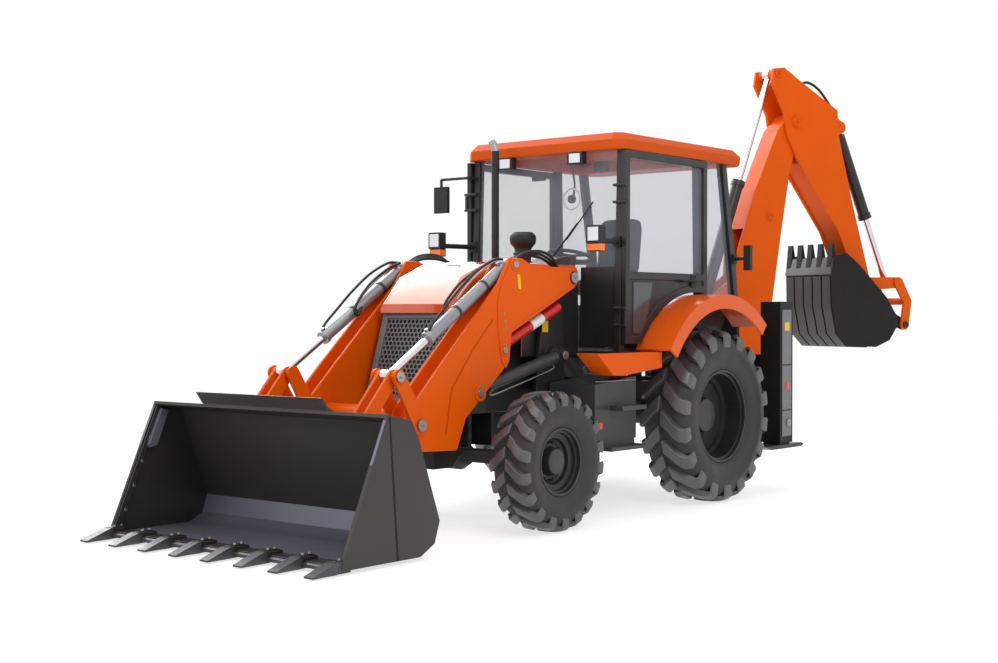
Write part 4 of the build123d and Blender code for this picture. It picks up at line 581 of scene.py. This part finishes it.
# Turned sections: the barrels' bands, the strut's sleeve and the housings' covers
BAND = [(-12, 44.2), (-12, 48), (12, 48), (12, 44.2)]
SLEEVE = [(0, 42.2), (0, 42.9), (150, 42.9), (150, 42.2)]
COVER = [(0, 34), (12, 34), (15, 31), (15, 14), (9, 12), (9, 0)]
tilt_hoses = Batch("tilt_hoses", "tilt_barrels", PLASTIC, "black_paint", 0.5)
tilt_ports = Batch("tilt_ports", "tilt_barrels", ZINC, "chrome", 1)
lift_pipes = Batch("lift_pipes", "lift_barrels", ZINC, "chrome", 0.5)
bands = Batch("barrel_bands", "tilt_barrels", CHARCOAL, "grey_paint", 1)
for sign in (1, -1):
    y = sign * ARM_Y
    upper = [along(*TILT, y + sign * 18, run, rise) for run, rise in UPPER]
    lower = [along(*TILT, y - sign * 26, run, rise) for run, rise in LOWER]
    looped = [along(*TILT, y - sign * inward, run, rise) for run, rise, inward in LOOPED]
    for path in (upper, looped):
        tilt_hoses.tube(smooth_path(path), 10, 10)
    tilt_ports.tube(smooth_path(lower), 7, 10)
    axis = along(*TILT, y, 1, 0) - along(*TILT, y, 0, 0)
    for run in (300, 640):
        bands.ring(basis(along(*TILT, y, run, 0), axis), BAND, 28)
    for run in (965, 75):
        foot = along(*TILT, y, run, 40)
        tilt_ports.disc(basis(foot, along(*TILT, y, run, 60) - foot), 17, 24, 14)
    pipe = [along(*LIFT, y + sign * 10, run, rise) for run, rise in PIPE]
    lift_pipes.tube(smooth_path(pipe, 5), 7, 10)
for batch in (tilt_hoses, tilt_ports, lift_pipes, bands):
    batch.done()

# Hoses along the top of the arms
arm_hoses = Batch("arm_hoses", "loader_arms", PLASTIC, "black_paint", 0.5)
for sign in (1, -1):
    for k in range(3):
        route = [(1450 + 20 * k, 1800), (1540 + 10 * k, 1890 + 14 * k), (1700, 1946 + 18 * k),
                 (1900, 1950 + 12 * k), (2040, 1916), (2110, 1896)]
        arm_hoses.tube(smooth_path([at(x, sign * (480 + 24 * k), z) for x, z in route]), 11, 10)
arm_hoses.done()

# Strut sleeve, plates and reflectors, all blank
labels = Batch("blank_labels", "loader_arms", WHITE, "silver_paint", 0.5)
warm = Batch("arm_plates", "loader_arms", YELLOW, "orange_paint", 0.5)
for sign in (1, -1):
    y = sign * ARM_Y
    axis = along(*STRUT, y, 1, 0) - along(*STRUT, y, 0, 0)
    labels.ring(basis(along(*STRUT, y, 430, 0), axis), SLEEVE, 28)
    warm.prism([(2045, 1700), (2075, 1705), (2090, 1810), (2060, 1805)], sign * CHEEK_FACE, sign * 598.2)
labels.done()
warm.done()
plates = Batch("blank_plates", "root", YELLOW, "orange_paint", 0.5)
glow = Batch("reflectors", "root", RUBY, "orange_paint", 1)
for sign in (1, -1):
    plates.prism(rectangle(1490, 1560, 1385, 1470), sign * 412, sign * 414)
    for x, y, z, radius in ((1440, 860, 690, 30), (-1040, LEG_FACE, 905, 34)):
        dome = [(0, radius), (7, radius), (11, radius - 6), (11, 0)]
        glow.ring(outward((x, z), y, sign), dome, 24)
    plates.prism(rectangle(-1080, -1000, 1380, 1450), sign * LEG_PANEL_FACE, sign * 1068)
plates.done()
glow.done()

# Leg housings: outer panels and round covers
leg_panels = Batch("leg_panels", "root", GRAPHITE, "grey_paint", 2)
leg_pins = Batch("leg_pins", "root", ZINC, "chrome", 2)
for sign in (1, -1):
    for low, high in ((470, 690), (700, 1080), (1090, 1560)):
        leg_panels.prism(rectangle(-1120, -960, low, high), sign * LEG_FACE, sign * LEG_PANEL_FACE)
    leg_pins.ring(outward((-1060, 585), LEG_PANEL_FACE, sign), COVER, 28)
leg_panels.done()
leg_pins.done()

# Wheels: plain hub caps, a row of nuts, and a grey line round the rim's edge that is a painted highlight

# Each axle: hub radius, and how far the hub's face and the rim's edge stand out from the wheel's middle
HUBS = {"front": (90, 65, 115), "rear": (135, -5, 155)}
NUT_COUNT = 10
for side, sign in SIDES:
    for end, (hub_r, face, lip) in HUBS.items():
        x, y, radius, _, rim_r, _ = WHEELS[end]
        place = outward((x, radius), y, sign)
        cap = Batch(end + "_hub_" + side, end + "_wheel_" + side, CHARCOAL, "black_paint", 2)
        dome = [(face, hub_r), (face + 10, hub_r), (face + 16, hub_r - 8), (face + 18, 0.5 * hub_r),
                (face + 18, 0)]
        cap.ring(place, dome, 48)
        # The bead round the rim's edge is grey, a painted highlight on the black rim
        bead = [(lip, rim_r - 17), (lip + 4, rim_r - 14), (lip + 5, rim_r - 8), (lip + 3, rim_r - 2),
                (lip - 2, rim_r - 1)]
        cap.ring(place, bead, 72)
        reach = hub_r + 34
        for k in range(NUT_COUNT):
            turn = tau * k / NUT_COUNT
            spot = place @ (Vector((reach * cos(turn), reach * sin(turn), face - 53)) / 1000)
            cap.bolt(basis(spot, LEFT * sign), 13)
        cap.done()

# Lamps, mirror glass and door fittings
clear = Batch("lamp_lenses", "root", LENS, "plastic", 2)
amber = Batch("indicator_lenses", "root", AMBER, "plastic", 2)
tail = Batch("tail_lenses", "root", RUBY, "plastic", 2)
for sign in (1, -1):
    x, y, z = 1393, sign * 795, 2119
    clear.box(at(x + 44, y - 48, z - 50), at(x + 49, y + 48, z + 52))
    amber.box(at(x - 30, y - 58, z - 123), at(x + 38, y + 58, z - 72))
    clear.box(at(1072, sign * 352 - 52, 2706), at(1077, sign * 352 + 52, 2778))
    tail.box(at(-511, sign * 1000 - 26, 1900), at(-505, sign * 1000 + 26, 2086))
for batch in (clear, amber, tail):
    batch.done()
shine = Batch("mirror_glass", "root", MIRROR, "plastic", 1)
shine.box(at(1060, -1095, 2378), at(1064, -965, 2582))
shine.done()
HANDLE, HANDLE_Z = ((60, 0), (60, 34), (160, 38), (260, 34), (260, 0)), 1790
for side, sign in SIDES:
    fittings = Batch("door_fittings_" + side, "door_" + side, PLASTIC, "plastic", 2)
    y = sign * DOOR_FACE
    fittings.tube([at(x, y + sign * out, HANDLE_Z) for x, out in HANDLE], 10, 10)
    fittings.box(at(20, min(y, y + sign * 6), 1740), at(90, max(y, y + sign * 6), 1840))
    fittings.done()
    lower = Batch("door_panel_" + side, "door_" + side, DARK_GLASS, "grey_paint", 3)
    lower.prism([(905, 1372), (905, 1770), (640, 1770), (690, 1560), (790, 1372)], sign * 792, sign * 797)
    lower.done()

# Panels below the windscreen's corners
low_panels = Batch("front_panels", "root", BLACK, "black_paint", 2)
for sign in (1, -1):
    low_panels.prism([(1008.5, 1262), (1012.5, 1262), (991.5, 1890), (987.5, 1890)], sign * 355, sign * 735)
low_panels.done()

# Wiper, inner mirrors and fan
SCREEN_FACE, SCREEN_FOOT, SCREEN_LEAN = 1008, 1235, 52 / 1555
WIPER_HUB = (60, 1935)
FAN_Y, FAN_Z, FAN_R = 190, 2440, 82


def screen(y, z, off):
    """A point in front of the windscreen."""
    return at(SCREEN_FACE - SCREEN_LEAN * (z - SCREEN_FOOT) + off, y, z)


wiper = Batch("wiper", "root", PLASTIC, "plastic", 0.5)
wiper.tube([screen(*WIPER_HUB, 10), screen(*WIPER_HUB, 34), screen(330, 2240, 26)], 7, 8)
wiper.tube([screen(215, 2110, 16), screen(470, 2400, 16)], 6, 8)
wiper.disc(basis(screen(*WIPER_HUB, 0), FORWARD), 26, 18)
wiper.done()
cab_bits = Batch("inner_mirror", "root", PLASTIC, "plastic", 3)
cab_bits.box(at(905, -190, 2600), at(925, -60, 2670))
cab_bits.box(at(905, 430, 2640), at(925, 560, 2720))
cab_bits.disc(basis(at(878, FAN_Y, FAN_Z), FORWARD), 34, 30)
cab_bits.tube([at(870, FAN_Y, FAN_Z), at(850, FAN_Y, 2560), at(900, FAN_Y, 2770)], 9, 8)
cab_bits.done()
fan = Batch("fan_ring", "root", WHITE, "silver_paint", 0.5)
turns = [tau * k / 36 for k in range(37)]
fan.tube([at(890, FAN_Y + FAN_R * cos(turn), FAN_Z + FAN_R * sin(turn)) for turn in turns], 7, 8)
fan.done()

# Bright edges of the side tanks
trim = Batch("tank_edges", "root", ZINC, "chrome", 1)
for sign in (1, -1):
    trim.box(at(966, min(sign * 851, sign * 861), 1016), at(1494, max(sign * 851, sign * 861), 1022))
trim.done()

# Backhoe: pin heads, hoses and pipes

# Each pin: its body, half its length, its reach and height, and the radius of its head
HOE_PINS = [
    ("kingpost", 156.8, 480, 950, 52), ("boom", 124, 700, 2450, 34), ("boom", 118, 20, 1640, 34),
    ("dipper", 155, 998, 3349, 48), ("dipper", 141, 780, 3790, 40), ("dipper", 179, 1911, 1821, 36),
    ("hoe_bucket", 187, 2050, 1530, 44), ("hoe_bucket", 200, 2335, 1420, 32),
    ("guide_links", 165.4, 2255, 1835, 34),
]
for body, half, reach, z, radius in HOE_PINS:
    paint = (STEEL, "bucket_steel") if body == "hoe_bucket" else (ORANGE, "orange_paint")
    pins = Batch("pins_%s_%d" % (body, radius + int(half)), body, *paint, 1.5)
    head = [(0, radius), (11, radius), (13, radius - 3), (13, 0.7 * radius), (6, 0.66 * radius), (6, 0)]
    for sign in (1, -1):
        axis = HOE_SIDE * sign
        pins.ring(basis(hoe(reach, sign * half, z), axis), head, 32)
        pins.bolt(basis(hoe(reach, sign * (half + 6), z), axis), 0.3 * radius)
    pins.done()
boom_pipes = Batch("boom_pipes", "boom", PLASTIC, "black_paint", 0.5)
route = [(632, 1330), (732, 1660), (784, 1900), (832, 2260), (882, 2560), (937, 2880), (992, 3050)]
for sign in (-1, 1):
    boom_pipes.tube(smooth_path([hoe(reach, sign * 34, z) for reach, z in route]), 12, 10)
boom_pipes.done()
dipper_hoses = Batch("dipper_hoses", "dipper", PLASTIC, "black_paint", 0.5)
route = [(1090, 3700), (1190, 3745), (1330, 3690), (1460, 3560), (1530, 3470), (1560, 3410)]
for sign in (-1, 1):
    dipper_hoses.tube(smooth_path([hoe(reach, sign * 60, z) for reach, z in route]), 13, 10)
dipper_hoses.done()

# Loader bucket: side edges, corner plates, seams, the lip, tooth caps and bolts
TOOTH_COUNT, TOOTH_SPAN = 8, 2158
TOOTH_SIDE = [(4396, 11), (4589, 11), (4589, 22.5), (4420, 79), (4404, 85), (4384, 85)]
SIDE_EDGE = [(4360, 40), (4300, 40), (3938, 900), (3975, 908)]
SIDE_BEAD = [(4103, 620), (3987, 880), (3996, 884), (4112, 624)]
SIDE_SEAM = [(3970, 904), (3954, 900), (3884, 30), (3902, 30)]
TOOTH_ROOT = [(4240, 50), (4400, 50), (4400, 88), (4300, 92), (4250, 76)]
CORNER_PLATE = [(3960, 868), (4072, 622), (4058, 604), (4000, 616), (3905, 850)]
edges = Batch("bucket_edges", "loader_bucket", STEEL, "bucket_steel", 3)
bright = Batch("bucket_wear", "loader_bucket", TOOTH, "bucket_steel", 2)
# The corner plates and side beads take the lighter steel, a painted reflection on the bucket's side plates
cutters = Batch("bucket_cutters", "loader_bucket", SHEEN_STEEL, "bucket_steel", 1)
seams = Batch("bucket_seams", "loader_bucket", GASKET, "bucket_steel", 0.3)
for sign in (1, -1):
    edges.prism(SIDE_EDGE, sign * BUCKET_INSIDE, sign * BUCKET_EDGE)
    cutters.prism(CORNER_PLATE, sign * BUCKET_INSIDE, sign * 1060)
    for k in range(4):
        bucket_pins.bolt(basis(at(4250 - 70 * k, sign * BUCKET_EDGE, 190 + 160 * k), LEFT * -sign), 13)
    cutters.prism(SIDE_BEAD, sign * BUCKET_INSIDE, sign * BUCKET_OUTSIDE)
    seams.prism(SIDE_SEAM, sign * 1112, sign * 1120.8)
cutters.done()
seams.done()
edges.box(at(4240, -BUCKET_INSIDE, 47), at(4370, BUCKET_INSIDE, 60))
bright.prism([(4389, 22), (4370, 22), (4370, 52), (4389, 42)], -BUCKET_OUTSIDE, BUCKET_OUTSIDE)
for k in range(TOOTH_COUNT):
    y = -TOOTH_SPAN / 2 + k * (TOOTH_SPAN / (TOOTH_COUNT - 1))
    bright.prism(TOOTH_SIDE, y - 39.8, y + 39.8)
    edges.prism(TOOTH_ROOT, y - 27, y + 27)
    for x in (4290, 4345):
        bucket_pins.bolt(basis(at(x, y, 90), UP), 13)
for batch in (edges, bright, bucket_pins):
    batch.done()

# Digging bucket: wear strips round the back and a lip plate
RIB = [(1254, 1880), (1262, 1599), (1323, 1334), (1456, 1210), (1720, 1201), (1720, 1212), (1462, 1224),
       (1333, 1345), (1272, 1601), (1264, 1880)]
RIB_COUNT, RIB_SHARE = 5, 0.17
LIP = [(1280, 2062), (1250, 1900), (1266, 1896), (1294, 2060)]
strips = Batch("hoe_strips", "hoe_bucket", STEEL, "bucket_steel", 2)
for k in range(RIB_COUNT):
    y = (k - 2) * 2 * HOE_BUCKET_HALF / RIB_COUNT
    strips.prism(RIB, y - RIB_SHARE * HOE_BUCKET_HALF, y + RIB_SHARE * HOE_BUCKET_HALF, hoe)
strips.prism(LIP, -HOE_BUCKET_HALF, HOE_BUCKET_HALF, hoe)
strips.done()

# Seat: a stand and two stuffed cushions, each with a crown and two grooves in metres
CROWN, GROOVE_DEPTH, GROOVE_WIDTH, GROOVE_Y = 0.012, 0.010, 0.012, 0.13
CLOTH_STEPS = 20


def cushion(name, centre, size, lean_back, cap):
    """A stuffed pad: a rounded block, blown up a little as cloth."""
    bm = bmesh.new()
    bmesh.ops.create_cube(bm, size=1.0)
    bmesh.ops.subdivide_edges(bm, edges=bm.edges, cuts=5, use_grid_fill=True)
    turn = Matrix.Rotation(radians(lean_back), 4, "Y")
    for vert in bm.verts:
        p = vert.co * 2
        round_off = 1 - 0.09 * ((abs(p.x) ** 6 * abs(p.y) ** 6) + abs(p.x * p.z) ** 6 + abs(p.y * p.z) ** 6)
        vert.co = Vector((p.x * size[0], p.y * size[1], p.z * size[2])) * 0.5 * round_off
    mesh = bpy.data.meshes.new(name)
    bm.to_mesh(mesh)
    bm.free()
    thing = bpy.data.objects.new(name, mesh)
    bpy.context.scene.collection.objects.link(thing)
    remesh = thing.modifiers.new("remesh", "REMESH")
    remesh.mode = "VOXEL"
    remesh.voxel_size = 0.012
    graph = bpy.context.evaluated_depsgraph_get()
    thing.data = bpy.data.meshes.new_from_object(thing.evaluated_get(graph))
    thing.modifiers.clear()
    start = [v.co.copy() for v in thing.data.vertices]
    cloth = thing.modifiers.new("cloth", "CLOTH")
    cloth.settings.use_pressure = True
    cloth.settings.uniform_pressure_force = 4
    cloth.settings.effector_weights.gravity = 0
    for step in range(1, CLOTH_STEPS + 1):
        bpy.context.scene.frame_set(step)
    graph = bpy.context.evaluated_depsgraph_get()
    blown = thing.evaluated_get(graph).to_mesh()
    ends = [v.co.copy() for v in blown.vertices]
    thing.modifiers.clear()
    for vert, a, b in zip(thing.data.vertices, start, ends):
        move = b - a
        vert.co = a + (move * (cap / move.length) if move.length > cap else move)
    bpy.context.scene.frame_set(1)
    for vert in thing.data.vertices:
        across, deep = (1 - min(1.0, abs(2 * vert.co[i] / size[i])) ** 4 for i in (0, 1))
        groove = sum(max(0.0, 1 - abs(vert.co.y - y) / GROOVE_WIDTH) for y in (-GROOVE_Y, GROOVE_Y))
        if vert.co.z > 0.2 * size[2]:
            vert.co.z += CROWN * (across * deep) - GROOVE_DEPTH * groove
    thing.data.transform(turn)
    thing.data.transform(Matrix.Translation(centre))
    thing.data.materials.append(CLOTH)
    thing.data.polygons.foreach_set("use_smooth", [True] * len(thing.data.polygons))
    finer = thing.modifiers.new("finer", "SUBSURF")
    finer.levels = finer.render_levels = 1
    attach(thing, "root")
    return thing


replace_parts(cushion("seat_cushion", at(180, 0, 1748), (0.46, 0.46, 0.09), 0, 0.012), "seat")
cushion("seat_back", at(-50, 0, 2085), (0.52, 0.43, 0.085), 83, 0.012)
stand = Batch("seat_stand", "root", PLASTIC, "plastic", 6)
stand.box(at(10, -170, 1600), at(290, 170, 1690))
stand.box(at(-40, -200, 1684), at(400, 200, 1704))
stand.done()

# Camera, floor and light
EYE = at(10389, 7267, 1515)
YAW, PITCH = radians(39.5), radians(-0.64)
FLOOR_HALF, FLOOR_SHADE, FLOOR_GLOW = 80, 0.46, 0.68
WORLD_LIGHT, WORLD_SEEN = 0.55, 1.0
camera_data = bpy.data.cameras.new("camera")
camera_data.sensor_width = 36
camera_data.lens = 53.37
camera_data.clip_end = 200
camera = bpy.data.objects.new("camera", camera_data)
bpy.context.scene.collection.objects.link(camera)
look = Vector((-cos(YAW) * cos(PITCH), -sin(YAW) * cos(PITCH), sin(PITCH)))
camera.location = EYE
camera.rotation_euler = look.to_track_quat("-Z", "Y").to_euler()
bpy.context.scene.camera = camera

floor_mesh = bpy.data.meshes.new("floor")
floor_corners = [(x, y, 0) for x, y in rectangle(-FLOOR_HALF, FLOOR_HALF, -FLOOR_HALF, FLOOR_HALF)]
floor_mesh.from_pydata(floor_corners, [], [(0, 1, 2, 3)])
floor = bpy.data.objects.new("floor", floor_mesh)
bpy.context.scene.collection.objects.link(floor)


def floor_material():
    """Pale and matt round the machine, and plain white further off."""
    material = bpy.data.materials.new("floor")
    material.use_nodes = True
    tree = material.node_tree
    shader = tree.nodes["Principled BSDF"]
    shader.inputs["Base Color"].default_value = (FLOOR_SHADE, FLOOR_SHADE, FLOOR_SHADE, 1)
    shader.inputs["Emission Color"].default_value = (1, 1, 1, 1)
    shader.inputs["Emission Strength"].default_value = FLOOR_GLOW
    shader.inputs["Roughness"].default_value = 0.9
    shader.inputs["Specular IOR Level"].default_value = 0.1
    place = tree.nodes.new("ShaderNodeTexCoord")
    length = tree.nodes.new("ShaderNodeVectorMath")
    length.operation = "LENGTH"
    tree.links.new(place.outputs["Object"], length.inputs[0])
    fade = tree.nodes.new("ShaderNodeMapRange")
    fade.interpolation_type = "SMOOTHSTEP"
    fade.inputs["From Min"].default_value = 4.0
    fade.inputs["From Max"].default_value = 8.0
    tree.links.new(length.outputs["Value"], fade.inputs["Value"])
    white = tree.nodes.new("ShaderNodeEmission")
    blend = tree.nodes.new("ShaderNodeMixShader")
    tree.links.new(fade.outputs["Result"], blend.inputs["Fac"])
    tree.links.new(shader.outputs["BSDF"], blend.inputs[1])
    tree.links.new(white.outputs["Emission"], blend.inputs[2])
    tree.links.new(blend.outputs["Shader"], tree.nodes["Material Output"].inputs["Surface"])
    return material


floor_mesh.materials.append(floor_material())

world = bpy.data.worlds.new("studio")
bpy.context.scene.world = world
world.use_nodes = True
tree = world.node_tree
path = tree.nodes.new("ShaderNodeLightPath")
seen = tree.nodes.new("ShaderNodeMath")
seen.operation = "MAXIMUM"
mirrored = tree.nodes.new("ShaderNodeMath")
mirrored.operation = "MAXIMUM"
tree.links.new(path.outputs["Is Glossy Ray"], mirrored.inputs[0])
tree.links.new(path.outputs["Is Transmission Ray"], mirrored.inputs[1])
tree.links.new(path.outputs["Is Camera Ray"], seen.inputs[0])
tree.links.new(mirrored.outputs["Value"], seen.inputs[1])
level = tree.nodes.new("ShaderNodeMapRange")
level.inputs["To Min"].default_value = WORLD_LIGHT
level.inputs["To Max"].default_value = WORLD_SEEN
tree.links.new(seen.outputs["Value"], level.inputs["Value"])
tree.links.new(level.outputs["Result"], tree.nodes["Background"].inputs["Strength"])
tree.nodes["Background"].inputs["Color"].default_value = (1, 1, 1, 1)


def lamp(name, place, aim, size, power, diffuse=True):
    """A soft lamp; one that is not diffuse shows only in reflections."""
    data = bpy.data.lights.new(name, "AREA")
    data.shape = "RECTANGLE"
    data.size = size[0]
    data.size_y = size[1]
    data.energy = power
    thing = bpy.data.objects.new(name, data)
    bpy.context.scene.collection.objects.link(thing)
    thing.location = place
    thing.visible_diffuse = diffuse
    thing.rotation_euler = (Vector(aim) - Vector(place)).to_track_quat("-Z", "Y").to_euler()


lamp("key", (5.0, 7.5, 8.0), (0.2, 0, 1.2), (5, 5), 330)
lamp("top", (0.0, 0.0, 9.5), (0, 0, 1), (9, 6), 250)
lamp("front", (10.0, -2.0, 4.0), (1.5, 0, 1.0), (5, 4), 170)
lamp("behind", (-3.5, -8.0, 7.2), (1.5, 0, 1.8), (11, 6), 1100)
lamp("sheen", (2.4, -6.6, 9.0), (1.95, 0, 1.75), (7, 6), 400, False)

bpy.context.scene.view_settings.view_transform = "Standard"

bpy.context.view_layer.update()
